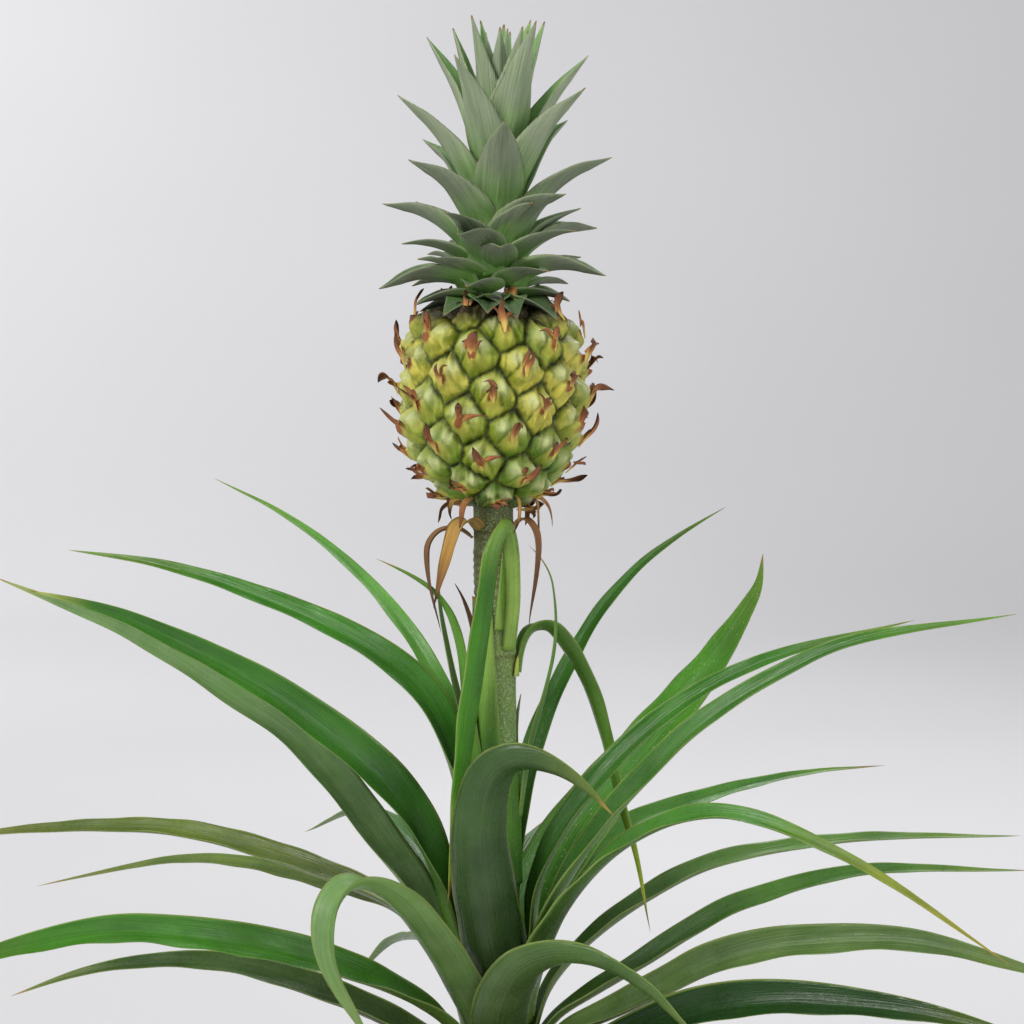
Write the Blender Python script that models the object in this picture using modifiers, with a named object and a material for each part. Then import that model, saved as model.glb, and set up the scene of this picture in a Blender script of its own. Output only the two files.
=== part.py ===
"""A fruiting ornamental pineapple plant in a plain nursery pot.

Metres, +Z up. The origin is the centre of the pot's flat underside and the plant stands on the Z axis.
From the bottom up it is: pot, potting mix, short leafy stem (the core), rosette leaves, fruit stalk,
stalk leaves, dried bracts, fruit, crown stem and crown leaves.  Every leaf is one sheet, drawn along a
spine that starts on the surface it grows from, and given its thickness by a Solidify modifier.
"""

import math

import bmesh
import bpy
from mathutils import Matrix, Quaternion, Vector

MM = 0.001

# Pot, a thin-walled tapered nursery pot
POT_RIM_RADIUS = 0.0640
POT_FOOT_RADIUS = 0.0460
POT_HEIGHT = 0.1120
POT_WALL = 0.0018
POT_FLOOR = 0.0025
RIM_BAND_HEIGHT = 0.0120
RIM_BAND_OUTSET = 0.0022
DRAIN_HOLES = 8
DRAIN_HOLE_RADIUS = 0.0042
DRAIN_CIRCLE_SHARE = 0.74
POT_STEPS = 40

# Potting mix
SOIL_BELOW_RIM = 0.0090
WELL_DEPTH = 0.0300

# Short leafy stem that carries the rosette
CORE_FOOT_RADIUS = 0.0155
# The free parts of the leaves are placed as from a core of this foot radius.
LEAF_CIRCLE_RADIUS = 0.0155
CORE_TOP_RADIUS = 0.0100
CORE_HEIGHT = 0.0720

# Fruit stalk, from the core's top to the fruit
STALK_RADIUS = 0.0076
STALK_LENGTH = 0.1730
STALK_LEAN = math.radians(-0.9)

# Fruit
FRUIT_RADIUS = 0.0374
FRUIT_HEIGHT = 0.0860
FRUIT_WIDEST = 0.6
EYES = 66
EYE_RISE = 0.0022

# Crown
CROWN_FOOT_RADIUS = 0.0110
CROWN_NECK_RADIUS = 0.0046
CROWN_NECK_HEIGHT = 0.0660
CROWN_HEART_HEIGHT = 0.1120
CROWN_LEAN = math.radians(2.4)
CROWN_LEAVES = 21
CROWN_FIRST_AZIMUTH = 200.0
GOLDEN_ANGLE = 137.508

# Leaves
LEAF_THICKNESS = 0.0014
CROWN_LEAF_THICKNESS = 0.0013
BRACT_THICKNESS = 0.0007
TIP_THICKNESS_SHARE = 0.35
TIP_WIDTH = 0.0009
LEAF_COLUMNS = 4
CLEARANCE = 0.0003

# Heights worked out from the sizes above
SOIL_TOP = POT_HEIGHT - SOIL_BELOW_RIM
CORE_TOP = SOIL_TOP + CORE_HEIGHT
STALK_FOOT = CORE_TOP + CLEARANCE
STALK_AXIS = Vector((math.sin(STALK_LEAN), 0, math.cos(STALK_LEAN)))
STALK_TOP = Vector((0, 0, STALK_FOOT)) + STALK_AXIS * STALK_LENGTH

GREEN = (0.10, 0.27, 0.05)
CROWN_GREEN = (0.18, 0.28, 0.15)


def clear_scene():
    for old in list(bpy.data.objects):
        bpy.data.objects.remove(old)


def new_collection(name):
    made = bpy.data.collections.new(name)
    bpy.context.scene.collection.children.link(made)
    return made


def plain_material(name, colour, roughness, metallic=0.0):
    made = bpy.data.materials.new(name)
    made.use_nodes = True
    shader = made.node_tree.nodes["Principled BSDF"]
    shader.inputs["Base Color"].default_value = (*colour, 1)
    shader.inputs["Roughness"].default_value = roughness
    shader.inputs["Metallic"].default_value = metallic
    return made


def add_object(name, mesh, collection, material):
    made = bpy.data.objects.new(name, mesh)
    collection.objects.link(made)
    if material is not None:
        mesh.materials.append(material)
    return made


def turned(name, profile, steps, collection, material):
    """A solid of revolution about Z, from (radius, height) points that run down its outside."""
    mesh = bpy.data.meshes.new(name)
    points = [(radius, 0, height) for radius, height in profile]
    mesh.from_pydata(points, [(i, i + 1) for i in range(len(points) - 1)], [])
    made = add_object(name, mesh, collection, material)
    screw = made.modifiers.new("Turn", "SCREW")
    screw.steps = screw.render_steps = steps
    screw.use_merge_vertices = True
    screw.merge_threshold = 0.00001
    screw.use_smooth_shade = True
    return made


# ---- pot, potting mix and stems ----


def pot_inner_radius(height):
    """Radius of the pot's inner wall, which tapers evenly from the floor to the rim."""
    share = height / POT_HEIGHT
    return POT_FOOT_RADIUS + (POT_RIM_RADIUS - RIM_BAND_OUTSET - POT_FOOT_RADIUS) * share - POT_WALL


def make_pot(parts, cutters):
    band_foot = POT_HEIGHT - RIM_BAND_HEIGHT
    band_wall = pot_inner_radius(band_foot) + POT_WALL
    edge = POT_WALL * 0.5
    profile = [
        (0, POT_FLOOR),
        (pot_inner_radius(POT_FLOOR) - edge, POT_FLOOR),
        (pot_inner_radius(POT_FLOOR + edge), POT_FLOOR + edge),
        (pot_inner_radius(POT_HEIGHT - edge), POT_HEIGHT - edge),
        (pot_inner_radius(POT_HEIGHT) + edge, POT_HEIGHT),
        (POT_RIM_RADIUS - edge, POT_HEIGHT),
        (POT_RIM_RADIUS, POT_HEIGHT - edge),
        (POT_RIM_RADIUS - 0.0006, band_foot + edge),
        (band_wall + RIM_BAND_OUTSET * 0.4, band_foot),
        (band_wall, band_foot - edge),
        (POT_FOOT_RADIUS + edge, edge * 2),
        (POT_FOOT_RADIUS - edge, 0),
        (0, 0),
    ]
    clay = plain_material("pot_plastic", (0.42, 0.16, 0.08), 0.6)
    pot = turned("pot", profile, POT_STEPS, parts, clay)
    circle = POT_FOOT_RADIUS * DRAIN_CIRCLE_SHARE
    for i in range(DRAIN_HOLES):
        turn = (i + 0.5) * math.tau / DRAIN_HOLES
        bpy.ops.mesh.primitive_cylinder_add(
            vertices=12,
            radius=DRAIN_HOLE_RADIUS,
            depth=POT_FLOOR * 4,
            location=(circle * math.cos(turn), circle * math.sin(turn), POT_FLOOR / 2),
        )
        cutter = bpy.context.object
        cutter.name = f"drain_cutter_{i + 1}"
        for owner in list(cutter.users_collection):
            owner.objects.unlink(cutter)
        cutters.objects.link(cutter)
        cutter.hide_render = True
        cutter.display_type = "WIRE"
        cut = pot.modifiers.new(f"Drain {i + 1}", "BOOLEAN")
        cut.operation = "DIFFERENCE"
        cut.object = cutter
    return pot


def make_soil(parts):
    """Potting mix that fills the pot, with a well that the core stands in."""
    foot = POT_FLOOR + CLEARANCE
    gap = CLEARANCE * 1.5
    well = core_radius(0) + CLEARANCE
    profile = [
        (0, SOIL_TOP - WELL_DEPTH),
        (well, SOIL_TOP - WELL_DEPTH),
        (well, SOIL_TOP),
        (well + 0.35 * (pot_inner_radius(SOIL_TOP) - well), SOIL_TOP + 0.0012),
        (pot_inner_radius(SOIL_TOP) - gap, SOIL_TOP - 0.0015),
        (pot_inner_radius(foot) - gap - POT_WALL, foot),
        (0, foot),
    ]
    mix = plain_material("potting_mix", (0.045, 0.028, 0.018), 0.95)
    return turned("potting_mix", profile, POT_STEPS, parts, mix)


def core_radius(height):
    """Radius of the core at a height above the potting mix. Below the mix it stays as thick as there."""
    share = min(max(height / CORE_HEIGHT, 0), 1)
    return CORE_FOOT_RADIUS + (CORE_TOP_RADIUS - CORE_FOOT_RADIUS) * share


def make_core(parts):
    foot = SOIL_TOP - WELL_DEPTH + CLEARANCE
    profile = [
        (0, CORE_TOP),
        (CORE_TOP_RADIUS, CORE_TOP),
        (CORE_FOOT_RADIUS, SOIL_TOP),
        (CORE_FOOT_RADIUS, SOIL_TOP - WELL_DEPTH * 0.6),
        (CORE_FOOT_RADIUS * 0.6, foot),
        (0, foot),
    ]
    bark = plain_material("core_bark", (0.16, 0.17, 0.07), 0.7)
    return turned("leafy_core", profile, 24, parts, bark)


def tube(name, path, radius, parts, material, resolution=3):
    """A round stem along a path of points, as a curve with a bevel and filled caps."""
    curve = bpy.data.curves.new(name, "CURVE")
    curve.dimensions = "3D"
    curve.bevel_depth = radius
    curve.bevel_resolution = resolution
    curve.use_fill_caps = True
    spline = curve.splines.new("POLY")
    spline.points.add(len(path) - 1)
    for point, (place, swell) in zip(spline.points, path):
        point.co = (*place, 1)
        point.radius = swell
    made = bpy.data.objects.new(name, curve)
    parts.objects.link(made)
    curve.materials.append(material)
    return made


def make_stalk(parts):
    """Fruit stalk: a little thicker at its foot and where it meets the fruit."""
    swells = [(0.0, 1.12), (0.15, 1.02), (0.5, 1.0), (0.85, 0.98), (1.0, 1.1)]
    foot = Vector((0, 0, STALK_FOOT))
    path = [(foot + STALK_AXIS * STALK_LENGTH * along, swell) for along, swell in swells]
    return tube("fruit_stalk", path, STALK_RADIUS, parts, plain_material("stalk", (0.30, 0.36, 0.18), 0.75))


# ---- fruit ----


def fruit_outline(share):
    """Fruit radius, as a share of its greatest, at a share of its height: a barrel, fuller at the top."""
    if share < FRUIT_WIDEST:
        return (1 - min((FRUIT_WIDEST - share) / FRUIT_WIDEST, 1) ** 2.5) ** 0.5
    return (1 - min((share - FRUIT_WIDEST) / (1 - FRUIT_WIDEST), 1) ** 3.6) ** 0.5


def make_fruit(parts):
    """One fused fruit. Each eye is a low bump, one golden angle round from the eye below it."""
    form = bmesh.new()
    form.verts.new((0, 0, CLEARANCE))
    for eye in range(EYES):
        share = 0.02 + 0.965 * (eye + 0.5) / EYES
        turn = math.radians(eye * GOLDEN_ANGLE)
        radius = FRUIT_RADIUS * fruit_outline(share)
        height = CLEARANCE + FRUIT_HEIGHT * share
        form.verts.new((radius * math.cos(turn), radius * math.sin(turn), height))
    form.verts.new((0, 0, CLEARANCE + FRUIT_HEIGHT))
    bmesh.ops.convex_hull(form, input=form.verts)
    grooves = bmesh.ops.subdivide_edges(form, edges=form.edges, cuts=1, use_grid_fill=True)["geom_inner"]
    for vert in grooves:
        if isinstance(vert, bmesh.types.BMVert):
            outward = Vector((vert.co.x, vert.co.y, 0))
            radius = FRUIT_RADIUS * fruit_outline((vert.co.z - CLEARANCE) / FRUIT_HEIGHT)
            if outward.length > FRUIT_RADIUS * 0.4:
                vert.co += outward.normalized() * (radius - EYE_RISE - outward.length)
    bmesh.ops.recalc_face_normals(form, faces=form.faces)
    mesh = bpy.data.meshes.new("fruit")
    form.to_mesh(mesh)
    form.free()
    mesh.shade_smooth()
    fruit = add_object("fruit", mesh, parts, plain_material("fruit_rind", (0.38, 0.40, 0.08), 0.5))
    fruit.location = STALK_TOP
    return fruit


# ---- leaves ----


class Surface:
    """A round stem that leaves grow from: its foot, the way it points and its radius at each height."""

    def __init__(self, foot, axis, radius_at, standoff_at=lambda height: 0):
        self.foot = foot
        self.axis = axis.normalized()
        self.radius_at = radius_at
        self.standoff_at = standoff_at
        self.turn = Vector((0, 0, 1)).rotation_difference(self.axis)

    def outward(self, azimuth):
        return self.turn @ Vector((math.cos(azimuth), math.sin(azimuth), 0))

    def root(self, azimuth, height, thickness):
        """(middle of the leaf's foot, radius of the circle that the foot is wrapped on)."""
        radius = self.radius_at(height) + CLEARANCE + thickness / 2
        return self.foot + self.axis * height + self.outward(azimuth) * radius, radius


def smooth_path(points, count):
    """count + 1 points evenly spaced on the centripetal Catmull-Rom curve through the given points."""
    ends = [points[0] * 2 - points[1], *points, points[-1] * 2 - points[-2]]
    knots = [0.0]
    for a, b in zip(ends, ends[1:]):
        knots.append(knots[-1] + max((b - a).length, 1e-9) ** 0.5)
    fine = []
    pieces = 24
    for i in range(1, len(ends) - 2):
        p0, p1, p2, p3 = ends[i - 1 : i + 3]
        t0, t1, t2, t3 = knots[i - 1 : i + 3]
        for k in range(pieces + (i == len(ends) - 3)):
            t = t1 + (t2 - t1) * k / pieces
            a1 = p0.lerp(p1, (t - t0) / (t1 - t0))
            a2 = p1.lerp(p2, (t - t1) / (t2 - t1))
            a3 = p2.lerp(p3, (t - t2) / (t3 - t2))
            b1 = a1.lerp(a2, (t - t0) / (t2 - t0))
            b2 = a2.lerp(a3, (t - t1) / (t3 - t1))
            fine.append(b1.lerp(b2, (t - t1) / (t2 - t1)))
    return even(fine, count)


def even(line, count):
    """count + 1 points spaced evenly along a line of many points."""
    along = [0.0]
    for a, b in zip(line, line[1:]):
        along.append(along[-1] + (b - a).length)
    spaced, at = [], 0
    for k in range(count + 1):
        want = along[-1] * k / count
        while at < len(line) - 2 and along[at + 1] < want:
            at += 1
        step = along[at + 1] - along[at]
        spaced.append(line[at].lerp(line[at + 1], (want - along[at]) / step if step else 0))
    return spaced


def ease(share):
    share = min(max(share, 0), 1)
    return share * share * (3 - 2 * share)


def blade_width(along, foot_share, widest, taper):
    """Width of a leaf, as a share of its greatest, at a share of its length."""
    if along < widest:
        return foot_share + (1 - foot_share) * ease(along / widest)
    return 1 - ((along - widest) / (1 - widest)) ** taper


def make_leaf(name, surface, azimuth, height, offsets, width, parts, material, thickness=LEAF_THICKNESS,
              stations=14, foot_share=0.8, widest=0.16, taper=1.35, channel=0.16, roll=(0, 0, 0),
              sheath=0.005):
    """A channelled blade that first clasps its stem along a short sheath and then leaves it.

    offsets are the spine's points after the sheath, each (right, back, up) from the root.
    roll turns the blade about its spine, in degrees: at the root, halfway and at the tip.
    """
    azimuth = math.radians(azimuth)
    root, wrap = surface.root(azimuth, height, thickness)
    sheath_end = root + surface.axis * sheath + surface.outward(azimuth) * sheath * 0.15
    free_root = root + surface.outward(azimuth) * surface.standoff_at(height)
    spine = smooth_path([root, sheath_end, *(free_root + Vector(step) for step in offsets)], stations)
    side = surface.turn @ Vector((-math.sin(azimuth), math.cos(azimuth), 0))
    form = bmesh.new()
    bmesh.ops.create_grid(form, x_segments=LEAF_COLUMNS, y_segments=stations, size=1)
    rows = {}
    for vert in form.verts:
        rows.setdefault(round((vert.co.y + 1) / 2 * stations), []).append(vert)
    tangent = None
    for station in range(stations + 1):
        if station:
            ahead = (spine[min(station + 1, stations)] - spine[station - 1]).normalized()
        else:
            ahead = (sheath_end - root).normalized()
        if tangent is not None:
            side = tangent.rotation_difference(ahead) @ side
        side = (side - ahead * side.dot(ahead)).normalized()
        tangent = ahead
        along = station / stations
        early, late = min(along * 2, 1), max(along * 2 - 1, 0)
        turn = roll[0] + (roll[1] - roll[0]) * ease(early) + (roll[2] - roll[1]) * ease(late)
        across = Quaternion(ahead, math.radians(turn)) @ side
        inward = ahead.cross(across)
        wide = max(width * blade_width(along, foot_share, widest, taper), TIP_WIDTH)
        free = ease(along / 0.22)
        for vert in rows[station]:
            out = vert.co.x * wide / 2
            wrapped = wrap - math.sqrt(wrap * wrap - min(abs(out), wrap * 0.98) ** 2)
            hollow = channel * wide * vert.co.x**2
            vert.co = spine[station] + across * out + inward * (wrapped * (1 - free) + hollow * free)
    mesh = bpy.data.meshes.new(name)
    form.to_mesh(mesh)
    form.free()
    mesh.shade_smooth()
    leaf = add_object(name, mesh, parts, material)
    weights = leaf.vertex_groups.new(name="thickness")
    for vert in mesh.vertices:
        nearest = min(range(stations + 1), key=lambda k: (spine[k] - vert.co).length_squared)
        weights.add([vert.index], 1 - (nearest / stations) ** 2, "REPLACE")
    shell = leaf.modifiers.new("Thickness", "SOLIDIFY")
    shell.thickness = thickness
    shell.offset = 0
    shell.vertex_group = weights.name
    shell.thickness_vertex_group = TIP_THICKNESS_SHARE
    return leaf


def mm(*points):
    return [(right * MM, back * MM, up * MM) for right, back, up in points]


# Rosette leaves: name, azimuth and height of the root on the core in mm, greatest width in mm, the spine's
# points as (right, back, up) in mm from the root, and what differs from a plain leaf.
ROSETTE = [
    # left side, steepest first
    ("leaf_left_steep_back", 127, 64, 11,
     [(-4, 8, 60), (-11, 13, 92), (-24, 21, 119), (-40, 39, 139), (-62, 63, 158), (-88, 89, 174),
      (-119, 117, 187)],
     {"roll": (0, -22, -20), "foot_share": 0.7}),
    ("leaf_left_high", 198, 60, 19,
     [(-3, 4, 52), (-8, 9, 86), (-19, 15, 109), (-38, 23, 125), (-71, 35, 141), (-127, 51, 159),
      (-169, 61, 165)],
     {"roll": (0, -80, -85), "foot_share": 0.7, "taper": 1.6}),
    ("leaf_left_long_upper", 184, 50, 22,
     [(-8, -2, 26), (-15, -7, 57), (-31, -13, 86), (-73, -28, 124), (-111, -40, 147), (-140, -49, 161),
      (-168, -56, 169)],
     {"roll": (0, -57, -60), "foot_share": 0.65, "taper": 1.6}),
    ("leaf_left_long_lower", 174, 41, 20,
     [(-9, -2, 22), (-17, -3, 44), (-33, -4, 68), (-67, -8, 113), (-95, -12, 133), (-129, -17, 155),
      (-185, -26, 180)],
     {"roll": (0, -52, -55), "foot_share": 0.65, "taper": 1.6}),
    ("leaf_left_olive", 166, 33, 15,
     [(-12, 11, 31), (-28, 23, 46), (-52, 37, 55), (-86, 55, 64), (-124, 73, 70), (-175, 93, 68),
      (-236, 115, 60)],
     {"roll": (0, -45, -55), "foot_share": 0.7, "taper": 2.2}),
    ("leaf_left_olive_low", 134, 28, 12,
     [(-13, 17, 33), (-33, 37, 48), (-56, 57, 52), (-98, 87, 57), (-130, 105, 56), (-168, 123, 47),
      (-198, 133, 39)],
     {"roll": (0, -40, -40), "foot_share": 0.7}),
    ("leaf_left_arch", 206, 23, 18,
     [(-9, -8, 19), (-27, -20, 33), (-52, -36, 47), (-77, -50, 57), (-104, -66, 65), (-137, -82, 70),
      (-214, -114, 57)],
     {"roll": (0, -50, -55), "taper": 2.2}),
    ("leaf_left_arch_low", 176, 16, 18,
     [(-13, -1, 13), (-42, 3, 27), (-66, 5, 36), (-91, 7, 43), (-123, 7, 45), (-155, 5, 41), (-183, 3, 32)],
     {"roll": (0, -35, -40)}),
    # front
    ("leaf_front_tall", 268, 49, 28,
     [(-1, -11, 18), (-5, -23, 46), (-7, -29, 74), (-3, -33, 95), (5, -37, 102), (20, -43, 101),
      (33, -49, 94),
      (44, -51, 84)],
     {"roll": (0, 10, 20), "stations": 18, "foot_share": 0.6, "taper": 2.2}),
    ("leaf_front_folded", 230, 30, 24,
     [(-9, -12, 28), (-22, -28, 53), (-35, -42, 70), (-47, -52, 76), (-55, -60, 68), (-55, -64, 49),
      (-47, -66, 32),
      (-38, -66, 15)],
     {"stations": 18, "foot_share": 0.6, "taper": 2.2}),
    ("leaf_front_low", 276, 20, 26,
     [(-1, -14, 25), (6, -26, 45), (20, -38, 55), (37, -48, 55), (54, -56, 47), (70, -62, 33),
      (81, -64, 21)],
     {"foot_share": 0.6}),
    # right side, steepest first
    ("leaf_right_steep_back", 76, 66, 11,
     [(3, 6, 49), (12, 15, 86), (23, 25, 110), (38, 39, 134), (58, 55, 154), (75, 67, 165), (94, 81, 175)],
     {"roll": (0, 22, 20)}),
    ("leaf_right_broad_back", 58, 51, 27,
     [(10, 16, 36), (31, 42, 68), (53, 62, 92), (80, 86, 119), (98, 106, 141), (108, 118, 157),
      (109, 124, 166)],
     {"roll": (0, 65, 55), "foot_share": 0.5, "taper": 2.2}),
    ("leaf_right_high", 4, 58, 15,
     [(4, 2, 37), (13, 5, 57), (29, 7, 79), (47, 9, 97), (69, 11, 113), (98, 11, 127), (155, 5, 143)],
     {"roll": (0, 45, 60)}),
    ("leaf_right_long", 342, 49, 16,
     [(5, -8, 30), (15, -14, 51), (29, -18, 73), (65, -26, 113), (91, -30, 131), (122, -34, 147),
      (187, -46, 160)],
     {"roll": (0, 45, 60)}),
    ("leaf_right_front_arch", 318, 40, 19,
     [(9, -13, 35), (20, -29, 58), (34, -43, 76), (52, -55, 89), (76, -69, 96), (123, -93, 81),
      (177, -119, 48)],
     {"roll": (0, 35, 40), "widest": 0.14, "taper": 0.85}),
    ("leaf_right_short_back", 26, 38, 16,
     [(6, 22, 32), (21, 46, 53), (41, 68, 67), (65, 90, 73), (95, 114, 78), (128, 136, 81), (161, 154, 81)],
     {"roll": (0, 70, 60), "foot_share": 0.55, "taper": 1.1}),
    ("leaf_right_band_1", 12, 34, 13,
     [(8, 11, 18), (23, 23, 32), (46, 35, 47), (73, 47, 59), (104, 59, 64), (140, 73, 66), (212, 98, 63)],
     {"roll": (0, 42, 45), "taper": 1.7}),
    ("leaf_right_band_2", 0, 28, 14,
     [(10, 2, 13), (30, 4, 25), (52, 8, 38), (75, 12, 52), (104, 16, 62), (134, 20, 68), (204, 34, 66)],
     {"roll": (0, 42, 45), "taper": 1.5}),
    ("leaf_right_band_3", 346, 22, 18,
     [(16, -10, 16), (45, -24, 33), (64, -34, 46), (87, -44, 56), (117, -58, 62), (144, -70, 64),
      (206, -96, 52)],
     {"roll": (0, 45, 42), "taper": 2.0}),
    ("leaf_right_band_4", 330, 15, 22,
     [(13, -16, 10.5), (38, -36, 27), (64, -52, 41), (90, -66, 48), (119, -80, 50), (152, -98, 49),
      (190, -114, 42)],
     {"roll": (0, 42, 42), "taper": 1.8}),
    # back, hidden from the front by the stalk and the leaves before it
    ("leaf_back_tall", 110, 54, 17, [(-1, 10, 44), (-2, 30, 86), (-6, 66, 110), (-12, 116, 104)],
     {"foot_share": 0.36}),
    ("leaf_back_left", 121, 39, 16, [(-11, 19, 31), (-28, 46, 60), (-52, 94, 68), (-82, 146, 50)],
     {"foot_share": 0.6}),
    ("leaf_back_right", 76, 41, 17, [(3, 20, 30), (10, 56, 54), (26, 108, 58), (42, 162, 34)],
     {"foot_share": 0.6}),
    ("leaf_back_low", 106, 20, 18, [(-8, 24, 18), (-22, 66, 32), (-42, 114, 26), (-64, 160, -2)],
     {"foot_share": 0.6}),
]


def leaf_standoff(height):
    """Keeps the free part of a leaf where it is when the core's foot is made thinner or thicker."""
    return (LEAF_CIRCLE_RADIUS - CORE_FOOT_RADIUS) * (1 - height / CORE_HEIGHT)


def make_rosette(parts):
    surface = Surface(Vector((0, 0, SOIL_TOP)), Vector((0, 0, 1)), core_radius, leaf_standoff)
    green = plain_material("leaf_green", GREEN, 0.42)
    fit = min(CORE_FOOT_RADIUS / LEAF_CIRCLE_RADIUS, 1) ** 2  # a thinner core leaves less room for the feet
    for name, azimuth, height, width, points, more in ROSETTE:
        more = {**more, "foot_share": more.get("foot_share", 0.8) * fit}
        make_leaf(name, surface, azimuth, height * MM, mm(*points), width * MM, parts, green, **more)


# Leaves on the fruit stalk: as above, with heights from the stalk's foot.
STALK_LEAVES = [
    ("stalk_leaf_over_top", 312, 118, 15,
     [(2, -3, 22), (1, -5, 42), (-1, -9, 50), (-5, -13, 42), (-10, -14, 8), (-16, -14, -33),
      (-21, -13, -68),
      (-25, -11, -101)],
     {"stations": 20, "foot_share": 0.5, "widest": 0.62, "taper": 1.2}),
    ("stalk_leaf_left", 205, 46, 12, [(-5, 0, 51), (-8, 0, 75), (-15, 2, 92), (-28, 4, 102), (-41, 6, 108)], {}),
    ("stalk_leaf_right_drop", 12, 108, 11,
     [(3, 2, 14), (9, 5, 19), (16, 8, 13), (26, 13, -3), (34, 18, -25), (41, 20, -54), (48, 18, -78),
      (54, 16, -109)],
     {"stations": 18}),
    ("stalk_leaf_thin_left", 150, 60, 6, [(-11, 6, 48), (-16, 9, 77), (-16, 9, 90), (-13, 7, 102)], {}),
    ("stalk_leaf_thin_right", 350, 50, 7,
     [(5, 1, 31), (10, 1, 50), (14, 2, 69), (14, 1, 85), (11, -1, 100), (3, -4, 110)],
     {}),
]

# Dried bracts that hang under the fruit.
BRACTS = [
    ("bract_gold", 222, 167, 11, [(-6, -5, 2), (-10, -9, -7), (-17, -12, -31)], {}),
    ("bract_brown_left", 185, 163, 7, [(-7, -1, 3), (-15, -3, 1), (-17, -4, -13), (-12, -6, -38)], {}),
    ("bract_brown_right", 335, 167, 7, [(5, -2, 3), (9, -4, -4), (6, -5, -40)], {}),
]


def make_stalk_leaves(parts):
    surface = Surface(Vector((0, 0, STALK_FOOT)), STALK_AXIS, lambda height: STALK_RADIUS * 1.08)
    green = plain_material("stalk_leaf_green", GREEN, 0.42)
    brown = plain_material("dried_bract", (0.30, 0.15, 0.06), 0.8)
    for name, azimuth, height, width, points, more in STALK_LEAVES:
        make_leaf(name, surface, azimuth, height * MM, mm(*points), width * MM, parts, green, **more)
    for name, azimuth, height, width, points, more in BRACTS:
        make_leaf(name, surface, azimuth, height * MM, mm(*points), width * MM, parts, brown,
                  thickness=BRACT_THICKNESS, stations=8, sheath=0.002, **more)


# ---- crown ----


def crown_radius(height):
    share = min(max(height / CROWN_NECK_HEIGHT, 0), 1)
    return CROWN_FOOT_RADIUS + (CROWN_NECK_RADIUS - CROWN_FOOT_RADIUS) * share


def make_crown(parts, foot, axis):
    """Crown stem, ending in the closed heart of young leaves, and the crown leaves that stand round it."""
    green = plain_material("crown_green", CROWN_GREEN, 0.6)
    heart = CROWN_HEART_HEIGHT - CROWN_NECK_HEIGHT
    profile = [
        (0, CROWN_HEART_HEIGHT),
        (CROWN_NECK_RADIUS, CROWN_NECK_HEIGHT + heart * 0.72),
        (CROWN_NECK_RADIUS * 1.35, CROWN_NECK_HEIGHT + heart * 0.35),
        (CROWN_NECK_RADIUS, CROWN_NECK_HEIGHT),
        (CROWN_FOOT_RADIUS, 0.0012),
        (CROWN_FOOT_RADIUS * 0.85, 0),
        (0, 0),
    ]
    stem = turned("crown_heart", profile, 16, parts, green)
    tilt = Vector((0, 0, 1)).rotation_difference(axis)
    stem.matrix_world = Matrix.Translation(foot) @ tilt.to_matrix().to_4x4()
    surface = Surface(foot, axis, crown_radius)
    for number in range(CROWN_LEAVES):
        rank = number / (CROWN_LEAVES - 1)
        azimuth = CROWN_FIRST_AZIMUTH + number * GOLDEN_ANGLE
        reach = (36 + 6 * math.sin(math.pi * rank * 0.9) - 14 * rank) * MM
        rise = (60 * rank**0.75 - 1) * MM
        arch = (7 - 2 * rank) * MM
        outward = surface.outward(math.radians(azimuth))
        points = []
        for out_share, up_share, arch_share in ((0.24, 0.3, 0.85), (0.58, 0.64, 0.8), (1, 1, 0)):
            points.append(outward * (reach * out_share) + axis * (rise * up_share + arch * arch_share))
        width = (19 + 3 * math.sin(math.pi * rank)) * MM
        height = (1 + 51 * rank) * MM
        foot_share = min(0.85, 1.75 * crown_radius(height) / width)
        make_leaf(f"crown_leaf_{number + 1:02d}", surface, azimuth, height, points, width, parts, green,
                  thickness=CROWN_LEAF_THICKNESS, stations=7, foot_share=foot_share, widest=0.22, taper=1.25,
                  channel=0.2, sheath=0.0025)


def main():
    clear_scene()
    parts = new_collection("potted_pineapple_plant")
    cutters = new_collection("cutters")
    make_pot(parts, cutters)
    make_soil(parts)
    make_core(parts)
    make_rosette(parts)
    make_stalk(parts)
    make_stalk_leaves(parts)
    make_fruit(parts)
    crown_axis = Vector((math.sin(CROWN_LEAN), 0, math.cos(CROWN_LEAN)))
    crown_foot = STALK_TOP + Vector((0, 0, FRUIT_HEIGHT + CLEARANCE * 2.5))
    make_crown(parts, crown_foot, crown_axis)


main()
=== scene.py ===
# %% [markdown]
# # A potted pineapple plant
#
# This lesson dresses a plain model of a fruiting pineapple plant until it looks alive.
# The plain model, the *frame*, has the right sizes and places. Each cell takes one piece of it,
# reads where it stands, and builds a finer piece there: a blade, a fruit, a stalk, a pot.
# We start by loading the frame and keeping its size, so that the finished plant can be compared with it.

# %% Load the frame
import math

import bmesh
import bpy
import numpy as np
from mathutils import Matrix, Vector, noise


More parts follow.
